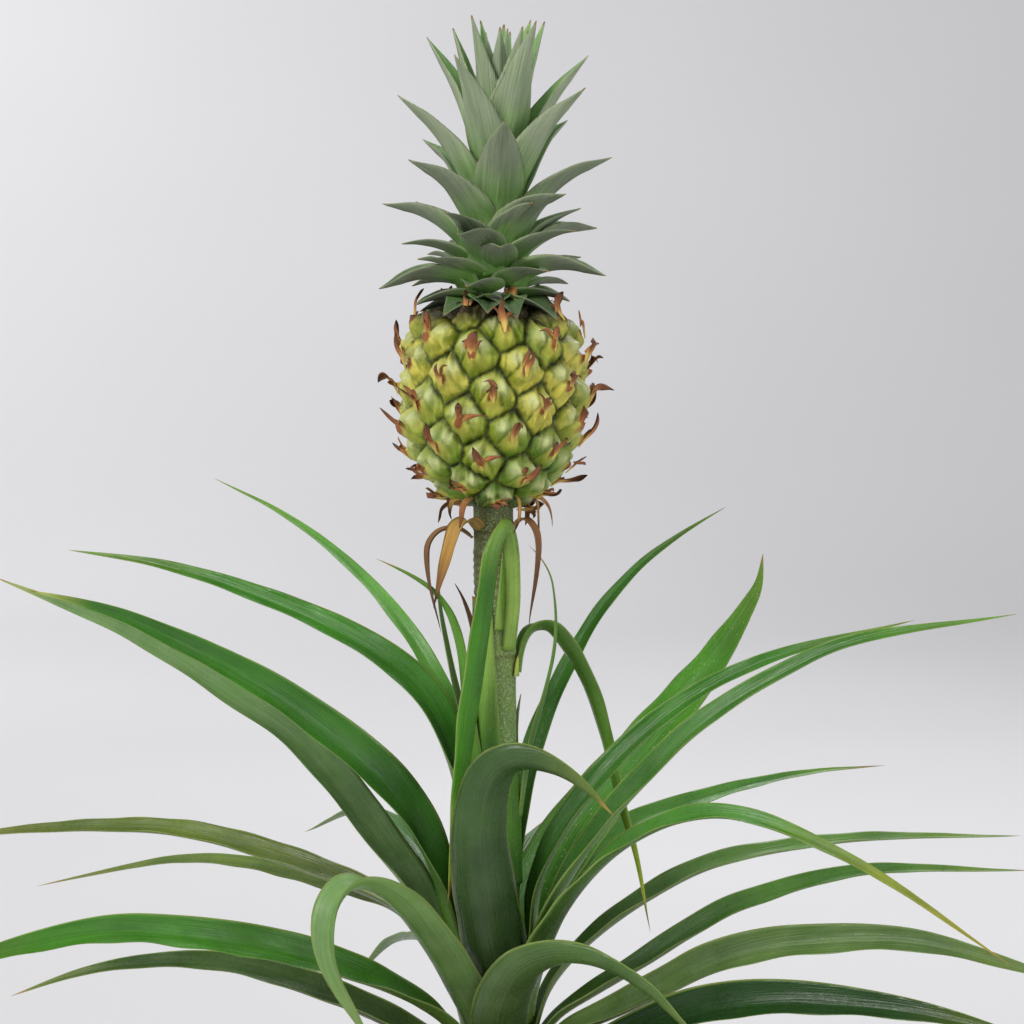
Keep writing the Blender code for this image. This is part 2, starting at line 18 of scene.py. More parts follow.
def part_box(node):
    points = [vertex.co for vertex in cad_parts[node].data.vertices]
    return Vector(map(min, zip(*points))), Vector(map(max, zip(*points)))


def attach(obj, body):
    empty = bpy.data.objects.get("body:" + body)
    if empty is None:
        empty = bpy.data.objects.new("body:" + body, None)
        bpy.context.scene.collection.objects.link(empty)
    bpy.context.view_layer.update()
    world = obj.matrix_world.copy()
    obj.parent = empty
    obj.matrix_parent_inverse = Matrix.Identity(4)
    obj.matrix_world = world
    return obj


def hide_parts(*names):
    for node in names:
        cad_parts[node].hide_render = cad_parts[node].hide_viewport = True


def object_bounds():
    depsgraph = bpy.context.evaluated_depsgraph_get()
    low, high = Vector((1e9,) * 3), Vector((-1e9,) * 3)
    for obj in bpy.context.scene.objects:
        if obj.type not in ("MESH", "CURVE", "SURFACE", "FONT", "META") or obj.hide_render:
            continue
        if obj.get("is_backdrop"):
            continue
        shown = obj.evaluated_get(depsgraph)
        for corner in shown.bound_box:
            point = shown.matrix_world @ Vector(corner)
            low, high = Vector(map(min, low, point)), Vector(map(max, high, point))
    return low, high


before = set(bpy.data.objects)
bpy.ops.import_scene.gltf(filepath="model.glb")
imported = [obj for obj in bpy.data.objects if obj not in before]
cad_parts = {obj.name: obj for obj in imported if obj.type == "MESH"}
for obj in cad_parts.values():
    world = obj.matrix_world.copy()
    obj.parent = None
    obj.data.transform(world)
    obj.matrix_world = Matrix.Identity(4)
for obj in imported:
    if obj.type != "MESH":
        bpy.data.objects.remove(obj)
CAD_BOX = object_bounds()
MM = 0.001
GOLDEN_TURN = math.radians(137.508)
print("frame:", len(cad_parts), "nodes, corners", [tuple(round(x, 3) for x in p) for p in CAD_BOX])

# %% [markdown]
# ## Small helpers for shader nodes
#
# A material is a small graph of nodes. Writing each node by hand takes many lines, so a few helpers
# make a node and fill its sockets, mix two colours, stretch a value between two limits, read a value
# from the mesh, and link what they made to the shader.
# A number that is the same all over a surface is typed straight into a socket; only things that
# change over the surface are linked.


# %% Shader node helpers
def add(tree, kind, inputs=None, **settings):
    """A new node. A socket in inputs is linked, anything else is typed in."""
    node = tree.nodes.new(kind)
    for key, value in settings.items():
        setattr(node, key, value)
    for key, value in (inputs or {}).items():
        if isinstance(value, bpy.types.NodeSocket):
            tree.links.new(value, node.inputs[key])
        else:
            node.inputs[key].default_value = value
    return node


def mixed(tree, factor, first, second, mode="MIX"):
    """The colour between first and second."""
    node = add(tree, "ShaderNodeMix", {0: factor, 6: first, 7: second}, data_type="RGBA", blend_type=mode)
    return node.outputs[2]


def tinted(tree, colour, shares):
    """The colour with its red, green and blue each multiplied by a share."""
    return mixed(tree, 1.0, colour, shares, "MULTIPLY")


def stretched(tree, value, low, high, to_low=0.0, to_high=1.0):
    """value between low and high, turned smoothly into a number between to_low and to_high."""
    settings = {"Value": value, "From Min": low, "From Max": high, "To Min": to_low, "To Max": to_high}
    return add(tree, "ShaderNodeMapRange", settings, interpolation_type="SMOOTHSTEP").outputs["Result"]


def sums(tree, operation, first, second=0.5):
    """One step of arithmetic on values."""
    return add(tree, "ShaderNodeMath", {0: first, 1: second}, operation=operation).outputs[0]


def cloud(tree, place, scale, detail):
    """Noise: a cloudy value between 0 and 1."""
    return add(tree, "ShaderNodeTexNoise", {"Vector": place, "Scale": scale, "Detail": detail}).outputs[0]


def read(tree, name, output="Vector"):
    """A value that was stored on the points of the mesh."""
    return add(tree, "ShaderNodeAttribute", attribute_name=name).outputs[output]


def paint(red, green, blue):
    """A colour given as 0 to 255, as the linear numbers that shaders use."""
    share = [c / 255 for c in (red, green, blue)]
    return tuple(c / 12.92 if c <= 0.04045 else ((c + 0.055) / 1.055) ** 2.4 for c in share) + (1.0,)


def new_group(name, inputs, outputs):
    """An empty node group with named sockets, and its two end nodes."""
    group = bpy.data.node_groups.new(name, "ShaderNodeTree")
    for title, kind, value in inputs:
        socket = group.interface.new_socket(title, in_out="INPUT", socket_type=f"NodeSocket{kind}")
        if value is not None:
            socket.default_value = value
    for title, kind in outputs:
        group.interface.new_socket(title, in_out="OUTPUT", socket_type=f"NodeSocket{kind}")
    return group, group.nodes.new("NodeGroupInput").outputs, group.nodes.new("NodeGroupOutput").inputs


def use(tree, group, inputs):
    """The outputs of a node group placed in a material with these inputs."""
    return add(tree, "ShaderNodeGroup", inputs, node_tree=group).outputs


def new_material(name):
    """An empty material with its Principled shader."""
    material = bpy.data.materials.new(name)
    material.use_nodes = True
    tree = material.node_tree
    return material, tree, tree.nodes["Principled BSDF"]


def feed(tree, shader, colour, roughness):
    """Links a colour and a roughness that change over the surface."""
    tree.links.new(colour, shader.inputs["Base Color"])
    tree.links.new(roughness, shader.inputs["Roughness"])


def emboss(tree, shader, height, strength, depth):
    """Fine relief from a value; depth is in metres."""
    bump = add(tree, "ShaderNodeBump", {"Height": height, "Strength": strength, "Distance": depth})
    tree.links.new(bump.outputs[0], shader.inputs["Normal"])


def spots_on(tree, size):
    """Blotches over the object's own space, and the place they are read at."""
    place = add(tree, "ShaderNodeTexCoord").outputs["Object"]
    return use(tree, BLOTCHES, {"Place": place, "Size": size}), place


# %% [markdown]
# ## Four effects that several finishes share
#
# Every blade on this plant is made of long fibres, so *fibre lines* run along it. The lines are
# noise that is squeezed across the blade and stretched along it.
# The blade's *margin* is a thin pale line, and its *tip* dries from the point downwards.
# *Powder* is the grey bloom and the fine pale scales that pineapple leaves carry.
# *Blotches* are soft changes of tone that keep any living surface from looking flat.
# All four are node groups, so that leaf, crown, bract, stalk and fruit use the same recipe
# with their own numbers.


# %% Fibre lines
def make_fibre_lines():
    group, have, give = new_group(
        "fibre_lines",
        [("Fibre", "Vector", None), ("Fineness", "Float", 2.0)],
        [("Lines", "Float"), ("Bands", "Float")],
    )
    for title, across, along in (("Lines", 1.0, 0.012), ("Bands", 0.22, 0.02)):
        wide = sums(group, "MULTIPLY", have["Fineness"], across)
        long = sums(group, "MULTIPLY", have["Fineness"], along)
        scale = add(group, "ShaderNodeCombineXYZ", {0: wide, 1: long, 2: 1.0}).outputs[0]
        squeeze = add(group, "ShaderNodeVectorMath", {0: have["Fibre"], 1: scale}, operation="MULTIPLY")
        lines = cloud(group, squeeze.outputs[0], 1.0, 2.5)
        group.links.new(stretched(group, lines, 0.3, 0.7), give[title])
    return group


FIBRE_LINES = make_fibre_lines()


# %% Margin and dry tip
def make_margin_and_tip():
    group, have, give = new_group(
        "margin_and_tip",
        [
            ("Across", "Float", 0.0),
            ("To Tip", "Float", 100.0),
            ("Dry Length", "Float", 5.0),
            ("Fibre", "Vector", None),
        ],
        [("Margin", "Float"), ("Dry", "Float")],
    )
    edge = sums(group, "ABSOLUTE", have["Across"])
    group.links.new(stretched(group, edge, 0.9, 0.985), give["Margin"])
    ragged = cloud(group, have["Fibre"], 0.28, 3.0)
    wobble = sums(group, "MULTIPLY", sums(group, "ADD", ragged, 0.5), have["Dry Length"])
    share = sums(group, "DIVIDE", have["To Tip"], sums(group, "ADD", wobble, 0.01))
    group.links.new(stretched(group, share, 1.25, 0.55), give["Dry"])
    return group


MARGIN_AND_TIP = make_margin_and_tip()


# %% Powder
def make_powder():
    group, have, give = new_group(
        "powder",
        [("Fibre", "Vector", None), ("Amount", "Float", 0.3), ("Speck Amount", "Float", 0.0)],
        [("Bloom", "Float"), ("Specks", "Float")],
    )
    patches = cloud(group, have["Fibre"], 0.11, 4.0)
    grain = cloud(group, have["Fibre"], 1.7, 3.0)
    soft = sums(group, "MULTIPLY", stretched(group, patches, 0.25, 0.75), stretched(group, grain, 0.2, 0.75))
    group.links.new(sums(group, "MULTIPLY", sums(group, "ADD", soft, 0.35), have["Amount"]), give["Bloom"])
    cells = add(group, "ShaderNodeTexVoronoi", {"Vector": have["Fibre"], "Scale": 0.45}).outputs["Distance"]
    dots = stretched(group, cells, 0.2, 0.08)
    group.links.new(sums(group, "MULTIPLY", dots, have["Speck Amount"]), give["Specks"])
    return group


POWDER = make_powder()


# %% Blotches
def make_blotches():
    group, have, give = new_group(
        "blotches", [("Place", "Vector", None), ("Size", "Float", 0.01)], [("Tone", "Float"), ("Grain", "Float")]
    )
    scale = sums(group, "DIVIDE", 1.0, have["Size"])
    for title, share, detail in (("Tone", 1.0, 3.0), ("Grain", 14.0, 4.0)):
        finer = sums(group, "MULTIPLY", scale, share)
        tone = cloud(group, have["Place"], finer, detail)
        group.links.new(stretched(group, tone, 0.25, 0.75), give[title])
    return group


BLOTCHES = make_blotches()
print("node groups:", [g.name for g in bpy.data.node_groups])

# %% [markdown]
# ## The finish of a blade
#
# A leaf, a crown leaf and a dried bract are all blades. They differ in colour, powder and gloss,
# so one function makes all three finishes. The colours of the upper and the under face are stored
# on the mesh, because each leaf of a real plant has its own green. The nodes then add what is too
# fine for the mesh: fibres, a pale margin, a drying tip, bloom, and a bump that follows the fibres.


# %% Blade finish
def blade_finish(name, fineness, line_strength, roughness, bump, bloom_colour, dry_colour, margin_colour):
    material, tree, shader = new_material(name)
    fibre = read(tree, "fibre")
    blade = add(tree, "ShaderNodeSeparateXYZ", {0: read(tree, "blade")}).outputs
    wear = add(tree, "ShaderNodeSeparateXYZ", {0: read(tree, "wear")}).outputs
    lines = use(tree, FIBRE_LINES, {"Fibre": fibre, "Fineness": fineness})
    ends = use(
        tree,
        MARGIN_AND_TIP,
        {"Across": blade[0], "To Tip": read(tree, "to_tip", "Fac"), "Dry Length": wear[0], "Fibre": fibre},
    )
    dust = use(tree, POWDER, {"Fibre": fibre, "Amount": wear[1], "Speck Amount": wear[2]})
    spots = use(tree, BLOTCHES, {"Place": fibre, "Size": 26.0})
    is_under = stretched(tree, blade[2], 0.45, 0.55)
    green = mixed(tree, is_under, read(tree, "tint", "Color"), read(tree, "under", "Color"))
    darker = tinted(tree, green, (0.5, 0.6, 0.42, 1))
    lighter = tinted(tree, green, (1.48, 1.34, 1.2, 1))
    lively = mixed(tree, stretched(tree, spots["Tone"], 0, 1, 0.1, 0.85), darker, lighter)
    outer = sums(tree, "MULTIPLY", sums(tree, "ABSOLUTE", blade[0]), 0.55)
    lively = mixed(tree, outer, lively, lighter)
    midline = stretched(tree, sums(tree, "ABSOLUTE", blade[0]), 0.07, 0.0, 0.0, 0.7)
    lively = mixed(tree, midline, lively, lighter)
    banded = mixed(tree, stretched(tree, lines["Bands"], 0, 1, 0.0, line_strength), lively, darker)
    lined = mixed(tree, stretched(tree, lines["Lines"], 0, 1, 0.0, line_strength), banded, lighter)
    dusty = mixed(tree, dust["Bloom"], lined, bloom_colour)
    specked = mixed(tree, dust["Specks"], dusty, (0.62, 0.68, 0.5, 1))
    edged = mixed(tree, sums(tree, "MULTIPLY", ends["Margin"], 0.75), specked, margin_colour)
    dried_dark = tinted(tree, dry_colour, (0.4, 0.34, 0.3, 1))
    withered = mixed(tree, sums(tree, "MULTIPLY", lines["Lines"], 0.7), dry_colour, dried_dark)
    gloss = stretched(tree, spots["Grain"], 0, 1, roughness - 0.07, roughness + 0.09)
    matt = sums(tree, "ADD", gloss, sums(tree, "MULTIPLY", dust["Bloom"], 0.5))
    matt = sums(tree, "ADD", matt, sums(tree, "MULTIPLY", ends["Dry"], 0.25))
    feed(tree, shader, mixed(tree, ends["Dry"], edged, withered), matt)
    relief = sums(tree, "ADD", lines["Lines"], sums(tree, "MULTIPLY", lines["Bands"], 0.8))
    emboss(tree, shader, relief, bump, 0.35 * MM)
    shader.inputs["Specular IOR Level"].default_value = 0.38
    return material


LEAF_FINISH = blade_finish(
    "leaf_skin",
    fineness=1.7,
    line_strength=0.4,
    roughness=0.29,
    bump=0.34,
    bloom_colour=(0.36, 0.44, 0.27, 1),
    dry_colour=(0.42, 0.3, 0.07, 1),
    margin_colour=(0.34, 0.44, 0.12, 1),
)
CROWN_FINISH = blade_finish(
    "crown_leaf_skin",
    fineness=2.4,
    line_strength=0.55,
    roughness=0.48,
    bump=0.7,
    bloom_colour=(0.33, 0.37, 0.28, 1),
    dry_colour=(0.36, 0.26, 0.12, 1),
    margin_colour=(0.40, 0.45, 0.26, 1),
)
BRACT_FINISH = blade_finish(
    "dried_bract_skin",
    fineness=1.8,
    line_strength=0.8,
    roughness=0.62,
    bump=0.9,
    bloom_colour=(0.5, 0.36, 0.2, 1),
    dry_colour=(0.08, 0.035, 0.016, 1),
    margin_colour=(0.32, 0.16, 0.06, 1),
)

# %% [markdown]
# ## Reading a leaf from the frame
#
# A leaf of the frame is a thin closed blade made of rings. Each ring has ten points: five on the
# upper face and five on the under face. To grow a finer leaf along the same path, we find the
# rings again. The tip is where the points crowd together; from there, each step to the
# neighbouring points finds the next ring. Pairing the two faces gives the leaf's middle surface,
# and the side that faces the stem at the foot is the upper face.


# %% Rings of a leaf
def middle_of(node, top=False, share=0.12):
    """The middle of the lowest or highest share of a node's points."""
    points = np.array([v.co[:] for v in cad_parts[node].data.vertices])
    height = points[:, 2]
    reach = share * (height.max() - height.min())
    kept = points[height > height.max() - reach] if top else points[height < height.min() + reach]
    return (kept.min(axis=0) + kept.max(axis=0)) / 2


STALK_FOOT, STALK_HEAD = middle_of("fruit_stalk"), middle_of("fruit_stalk", True)
AXIS = np.array([(0, 0, 0), STALK_FOOT, STALK_HEAD, middle_of("crown_heart"), middle_of("crown_heart", True)])


def axis_at(height):
    """The point of the plant's middle line at a height."""
    x, y = (np.interp(height, AXIS[:, 2], AXIS[:, k]) for k in (0, 1))
    return np.array([x, y, height])


def walked(points, touching, ring):
    """The points of a ring in the order in which they join."""
    order = [min(ring)]
    while len(order) < len(ring):
        steps = [i for i in touching[order[-1]] & ring if i not in order]
        if not steps:
            break
        order.append(steps[0])
    return points[order]


RING_POINTS = 10
TIP_CROWD = 1.6 * MM


def leaf_rows(node):
    """The middle surface of a leaf: rows from foot to tip, five points each, upper face towards across x along."""
    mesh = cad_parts[node].data
    points, index = np.unique(np.array([v.co[:] for v in mesh.vertices]).round(6), axis=0, return_inverse=True)
    index = index.ravel()
    touching = [set() for _ in points]
    for face in mesh.polygons:
        corners = [int(index[i]) for i in face.vertices]
        for one, other in zip(corners, corners[1:] + corners[:1]):
            touching[one].add(other)
            touching[other].add(one)
    gaps = np.linalg.norm(points[:, None] - points[None], axis=2)
    for tip in np.argsort(-(gaps < TIP_CROWD).sum(axis=1)):
        rings = [set(np.flatnonzero(gaps[tip] < TIP_CROWD).tolist())]
        if len(set().union(*(touching[i] for i in rings[0])) - rings[0]) == RING_POINTS:
            break
    seen = set(rings[0])
    while True:
        further = set().union(*(touching[i] for i in rings[-1])) - seen
        if not further:
            break
        rings.append(further)
        seen |= further
    rings.reverse()
    loops = [walked(points, touching, ring) for ring in rings[1:-1]]
    middle = len(loops) // 3
    loop = loops[middle]
    edges = np.linalg.norm(loop - np.roll(loop, -1, axis=0), axis=1)
    rim = int((edges[:5] + edges[5:]).argmin())
    loops[middle] = np.roll(loop, -(rim + 1), axis=0)
    turns = range(RING_POINTS)
    for path in (range(middle + 1, len(loops)), range(middle - 1, -1, -1)):
        for k in path:
            before = loops[k - 1 if path.step > 0 else k + 1]
            before = before - before.mean(axis=0)
            choices = [np.roll(way, turn, axis=0) for way in (loops[k], loops[k][::-1]) for turn in turns]
            loops[k] = min(choices, key=lambda c: float(np.abs(c - c.mean(axis=0) - before).sum()))
    first, second = np.array([c[:5] for c in loops]), np.array([c[:4:-1] for c in loops])
    away = first[0].mean(axis=0) - axis_at(first[0, :, 2].mean())
    if ((first[0, 2] - second[0, 2]) * away).sum() > 0:
        first, second = second, first
    rows = (first + second) / 2
    along, across = rows[2].mean(axis=0) - rows[0].mean(axis=0), rows[1, 4] - rows[1, 0]
    if (np.cross(along, across) * (first[1, 2] - second[1, 2])).sum() < 0:
        rows = rows[:, ::-1]
    foot = points[sorted(rings[0])].mean(axis=0) - rows[0].mean(axis=0)
    point = points[sorted(rings[-1])].mean(axis=0)
    last = point + (rows[-1] - rows[-1].mean(axis=0)) * 0.05
    return np.concatenate([rows[:1] + foot, rows, last[None]])


LEAF_NODES = sorted(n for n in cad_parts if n.startswith(("leaf_", "stalk_leaf_", "crown_leaf_", "bract_")))
ROWS = {node: leaf_rows(node) for node in LEAF_NODES}
print("leaves read:", len(ROWS), "middle line heights", AXIS[:, 2].round(3))

# %% [markdown]
# ## Growing a fine blade
#
# A smooth curve through the rows gives many more rows, and a smooth curve across them gives more
# columns. Then the blade gets what a real one has: it is thickest in the middle and thin as paper
# at the margin, the margin is slightly wavy, and a fine crease runs along the middle.
# Every point also carries where it is on the blade, which the finish reads.


# %% Blade geometry
def curve_through(rows, count):
    """Smooth curve through the rows, with count rows evenly spread over them."""
    place = np.linspace(0, len(rows) - 1, count)
    k = np.minimum(place.astype(int), len(rows) - 2)
    f = (place - k).reshape((-1,) + (1,) * (rows.ndim - 1))
    longer = np.concatenate([2 * rows[:1] - rows[1:2], rows, 2 * rows[-1:] - rows[-2:-1]])
    a, b, c, d = (longer[k + i] for i in range(4))
    return 0.5 * (2 * b + (c - a) * f + (2 * a - 5 * b + 4 * c - d) * f**2 + (3 * b - a - 3 * c + d) * f**3)


def lengths_along(line):
    """Distance from the first point of a line to each point."""
    return np.concatenate([[0], np.linalg.norm(np.diff(line, axis=0), axis=1).cumsum()])


def unit(vectors):
    return vectors / np.maximum(np.linalg.norm(vectors, axis=-1, keepdims=True), 1e-12)


def fine_blade(
    rows, look, seed, stations=72, columns=13, thickness=1.0, crease=0.3, wave=0.5, swell=0.0, channel=0.0
):
    """One blade as arrays: points, faces, and what each point carries.

    look holds its colours and wear. thickness, crease (how deep the middle line is) and wave (how far
    the margin waves) are in millimetres, swell widens the middle, and channel hollows the blade by a
    share of its width.
    """
    chance = np.random.default_rng(seed)
    surface = curve_through(rows, stations)
    surface = curve_through(surface.transpose(1, 0, 2), columns).transpose(1, 0, 2)
    for _ in range(3):
        surface[1:-1] = surface[1:-1] * 0.5 + (surface[:-2] + surface[2:]) * 0.25
    middle = surface[:, columns // 2]
    run = lengths_along(middle)
    share = run / run[-1]
    u = np.linspace(-1, 1, columns)
    fuller = 1 + swell * np.sin(np.pi * share) ** 1.5
    surface = middle[:, None] + (surface - middle[:, None]) * fuller[:, None, None]
    width = np.linalg.norm(np.diff(surface, axis=1), axis=2).sum(axis=1)
    face = unit(np.cross(np.gradient(surface, axis=0), np.gradient(surface, axis=1)))
    room = np.minimum(width / (8 * MM), 1)[:, None]
    phase, pace = chance.uniform(0, 6.28, 2), chance.uniform(0.16, 0.26, 2)
    left_wave, right_wave = (np.sin(run[:, None] / MM * pace[k] + phase[k]) for k in (0, 1))
    ripple = np.where(u < 0, left_wave, right_wave)
    roll = np.sin(run[:, None] / MM * 0.05 + phase[0]) * 0.4
    surface = surface + face * (channel * width[:, None] * (u[None] ** 2 - 0.3) * room)[..., None]
    calm_ends = np.sin(np.pi * np.clip(share, 0, 1))[:, None] ** 0.5
    lift = wave * (ripple + roll) * np.abs(u) ** 3 * room * calm_ends
    groove = -crease * np.exp(-((u / 0.13) ** 2)) * room * (share[:, None] < 0.99)
    surface = surface + face * ((lift + groove) * MM)[..., None]
    body = thickness * MM * (1 - 0.75 * np.abs(u) ** 2.5)[None] * (1 - 0.55 * share[:, None] ** 2)
    body = np.minimum(body, width[:, None] * 0.4)
    upper, lower = surface + face * body[..., None] / 2, surface - face * body[..., None] / 2
    inner = lower[:, 1:-1]
    points = np.concatenate([upper.reshape(-1, 3), inner.reshape(-1, 3)])
    top = np.arange(stations * columns).reshape(stations, columns)
    under = top.copy()
    under[:, 1:-1] = stations * columns + np.arange(inner.shape[0] * inner.shape[1]).reshape(inner.shape[:2])
    top_faces = np.stack([top[:-1, :-1], top[1:, :-1], top[1:, 1:], top[:-1, 1:]], axis=-1)
    under_faces = np.stack([under[:-1, :-1], under[:-1, 1:], under[1:, 1:], under[1:, :-1]], axis=-1)
    faces = np.concatenate([top_faces.reshape(-1, 4), under_faces.reshape(-1, 4)])
    foot_cap = np.concatenate([top[0], under[0, -2:0:-1]])
    tip_cap = np.concatenate([top[-1, ::-1], under[-1, 1:-1]])
    across = (u[None] * width[:, None] / 2 / MM) + 0 * share[:, None]

    def both(grid):
        flat = (-1,) + grid.shape[2:]
        return np.concatenate([grid.reshape(flat), grid[:, 1:-1].reshape(flat)])

    far = np.broadcast_to(run[:, None] / MM, across.shape)
    on_margin = np.where(np.abs(u) > 0.99, 0.5, 0.0)
    side = np.concatenate([np.tile(on_margin, stations), np.ones(stations * (columns - 2))])
    u_grid, share_grid = np.broadcast_to(u, across.shape), np.broadcast_to(share[:, None], across.shape)
    tint, under_tint = (shade(look[key], share) for key in ("upper", "under"))
    return {
        "points": points,
        "faces": [*faces, foot_cap, tip_cap],
        "blade": np.stack([both(u_grid), both(share_grid), side], axis=1),
        "fibre": np.stack([both(across), both(far), np.full(len(points), seed * 7.3)], axis=1),
        "to_tip": both(run[-1] / MM - far),
        "wear": np.tile([look["dry"], look["bloom"], look["specks"]], (len(points), 1)),
        "tint": both(np.broadcast_to(tint[:, None], across.shape + (4,))),
        "under": both(np.broadcast_to(under_tint[:, None], across.shape + (4,))),
    }


def shade(stops, share):
    """Colour along a blade: stops are (share, colour) pairs."""
    places = [stop[0] for stop in stops]
    return np.stack([np.interp(share, places, [stop[1][c] for stop in stops]) for c in range(4)], axis=1)


CARRIED = {
    "blade": "FLOAT_VECTOR",
    "fibre": "FLOAT_VECTOR",
    "wear": "FLOAT_VECTOR",
    "to_tip": "FLOAT",
    "tint": "FLOAT_COLOR",
    "under": "FLOAT_COLOR",
}
FIELD = {"FLOAT_VECTOR": "vector", "FLOAT": "value", "FLOAT_COLOR": "color"}


def tube_faces(levels, around, flipped=False):
    """Faces of a tube made of rings, with one face at each end. flipped turns all of them round."""
    grid = np.arange(levels * around).reshape(levels, around)
    right = np.roll(grid, -1, axis=1)
    corners, ends = [grid[:-1], right[:-1], right[1:], grid[1:]], [grid[0][::-1], grid[-1]]
    if flipped:
        corners, ends = corners[:1] + corners[:0:-1], [end[::-1] for end in ends]
    return np.stack(corners, axis=-1).reshape(-1, 4).tolist() + [end.tolist() for end in ends]


def put(name, points, faces, material, carried, smooth=True):
    """A mesh object in the scene, which rides on the plant."""
    mesh = bpy.data.meshes.new(name)
    mesh.from_pydata(points.tolist(), [], [[int(i) for i in f] for f in faces])
    for key, (kind, values) in carried.items():
        layer = mesh.attributes.new(key, kind, "POINT")
        layer.data.foreach_set(FIELD[kind], np.ascontiguousarray(values, dtype=np.float32).ravel())
    mesh.polygons.foreach_set("use_smooth", [smooth and len(f) < 5 for f in faces])
    mesh.materials.append(material)
    made = bpy.data.objects.new(name, mesh)
    bpy.context.scene.collection.objects.link(made)
    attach(made, "root")
    return made


def put_blades(name, blades, material):
    """Several blades as one object."""
    start = np.cumsum([0] + [len(b["points"]) for b in blades])
    faces = [face + s for b, s in zip(blades, start) for face in b["faces"]]
    carried = {key: (kind, np.concatenate([b[key] for b in blades])) for key, kind in CARRIED.items()}
    return put(name, np.concatenate([b["points"] for b in blades]), faces, material, carried)


# %% [markdown]
# ## Colours of the leaves
#
# The leaves share one family of greens, but no two are alike. Old leaves are yellower, the hollow
# upper faces are a deep green, and the under faces are paler with a grey scurf. Each leaf is
# listed with its two greens, how far its tip has dried, and how dusty or specked it is.
# At the very foot a leaf is paler, because it grew there in the shade of the others; just above the foot its green is
# darkened as painted shade of the rosette's heart, and past the middle it is painted a little lighter.


# %% Leaf looks
def look(upper, under, dry=6.0, bloom=0.1, specks=0.0, foot=0.18, tip=(122, 142, 52), tip_share=0.12):
    """Colours from foot to tip for both faces, and the wear of the blade."""
    result = {"dry": dry, "bloom": bloom, "specks": specks}
    for key, colour in (("upper", upper), ("under", under)):
        main, end = np.array(paint(*colour)), np.array(paint(*tip))
        pale = main * (1 - foot) + np.array(paint(156, 190, 92)) * foot
        # Above the pale foot the green is painted darker (0.7 and 0.8 of it) as painted shade of the rosette's heart,
        # and painted a little lighter (1.1) past the middle.
        result[key] = [
            (0, pale),
            (0.18, main * 0.7 if foot < 0.5 else pale),
            (0.36, main * 0.8),
            (0.55, main * 1.1),
            (1 - 2 * tip_share, main),
            (1, main * 0.35 + end * 0.65),
        ]
    return result


LOOKS = {
    "leaf_left_long_upper": look((46, 110, 16), (74, 122, 40), dry=4, bloom=0.07, tip=(206, 206, 120), tip_share=0.05),
    "leaf_left_long_lower": look((92, 136, 72), (116, 150, 96), dry=5, bloom=0.34, tip=(196, 200, 116), tip_share=0.05),
    "leaf_left_high": look((48, 116, 14), (92, 134, 60), dry=3, bloom=0.06),
    "leaf_left_steep_back": look((84, 146, 58), (92, 150, 68), dry=4, bloom=0.05),
    "leaf_left_olive": look((86, 108, 26), (84, 104, 38), dry=10, bloom=0.08, tip=(128, 116, 46)),
    "leaf_left_olive_low": look((96, 122, 54), (90, 114, 54), dry=16, bloom=0.1, tip=(150, 150, 80)),
    "leaf_left_arch": look((56, 120, 22), (72, 112, 36), dry=4, bloom=0.05),
    "leaf_left_arch_low": look((46, 76, 22), (42, 70, 24), dry=8, bloom=0.06),
    "leaf_front_tall": look((64, 132, 30), (42, 76, 25), dry=8, bloom=0.08),
    "leaf_front_folded": look((98, 142, 74), (92, 136, 58), dry=6, bloom=0.24),
    "leaf_front_low": look((72, 120, 38), (62, 96, 38), dry=6, bloom=0.1),
    "leaf_right_steep_back": look((58, 122, 24), (74, 130, 36), dry=4, bloom=0.05),
    "leaf_right_broad_back": look((84, 156, 40), (90, 150, 50), dry=5, bloom=0.04, specks=0.6),
    "leaf_right_high": look((50, 112, 22), (66, 112, 34), dry=3, bloom=0.07),
    "leaf_right_long": look((52, 113, 25), (92, 136, 58), dry=4, bloom=0.12, tip=(110, 156, 30)),
    "leaf_right_front_arch": look((62, 126, 32), (70, 112, 38), dry=12, bloom=0.08, tip=(188, 160, 60), tip_share=0.2),
    "leaf_right_short_back": look((74, 138, 42), (82, 130, 48), dry=16, bloom=0.05),
    "leaf_right_band_1": look((76, 124, 40), (86, 116, 52), dry=5, bloom=0.14),
    "leaf_right_band_2": look((62, 112, 32), (76, 108, 44), dry=5, bloom=0.1),
    "leaf_right_band_3": look((74, 108, 44), (74, 102, 46), dry=5, bloom=0.16),
    "leaf_right_band_4": look((20, 60, 10), (30, 64, 18), dry=6, bloom=0.02),
    "stalk_leaf_over_top": look((26, 104, 6), (60, 122, 22), dry=10, bloom=0.02, foot=0.8, tip=(176, 184, 60)),
    "stalk_leaf_left": look((62, 124, 22), (82, 136, 40), dry=8, bloom=0.04),
    "stalk_leaf_right_drop": look((50, 118, 18), (82, 130, 34), dry=12, bloom=0.04, tip=(176, 180, 50), tip_share=0.2),
    "stalk_leaf_thin_left": look((92, 132, 56), (92, 130, 56), dry=12, bloom=0.05),
    "stalk_leaf_thin_right": look((80, 124, 50), (86, 128, 54), dry=12, bloom=0.05),
}
PLAIN_LOOK = look((50, 104, 24), (66, 106, 36), dry=6, bloom=0.08)

# %% Rosette and stalk leaves
GREEN_LEAVES = [n for n in LEAF_NODES if n.startswith(("leaf_", "stalk_leaf_"))]
for number, node in enumerate(GREEN_LEAVES):
    slim = "thin" in node
    blade = fine_blade(
        ROWS[node],
        LOOKS.get(node, PLAIN_LOOK),
        number + 1,
        stations=84,
        thickness=0.8 if slim else 1.2,
        crease=0.12 if slim else 0.35,
        wave=0.2 if slim else 0.45,
        channel=0.03 if slim else 0.1,
    )
    leaf = put_blades(node + "_blade", [blade], LEAF_FINISH)
    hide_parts(node)
print("green leaves:", len(GREEN_LEAVES))

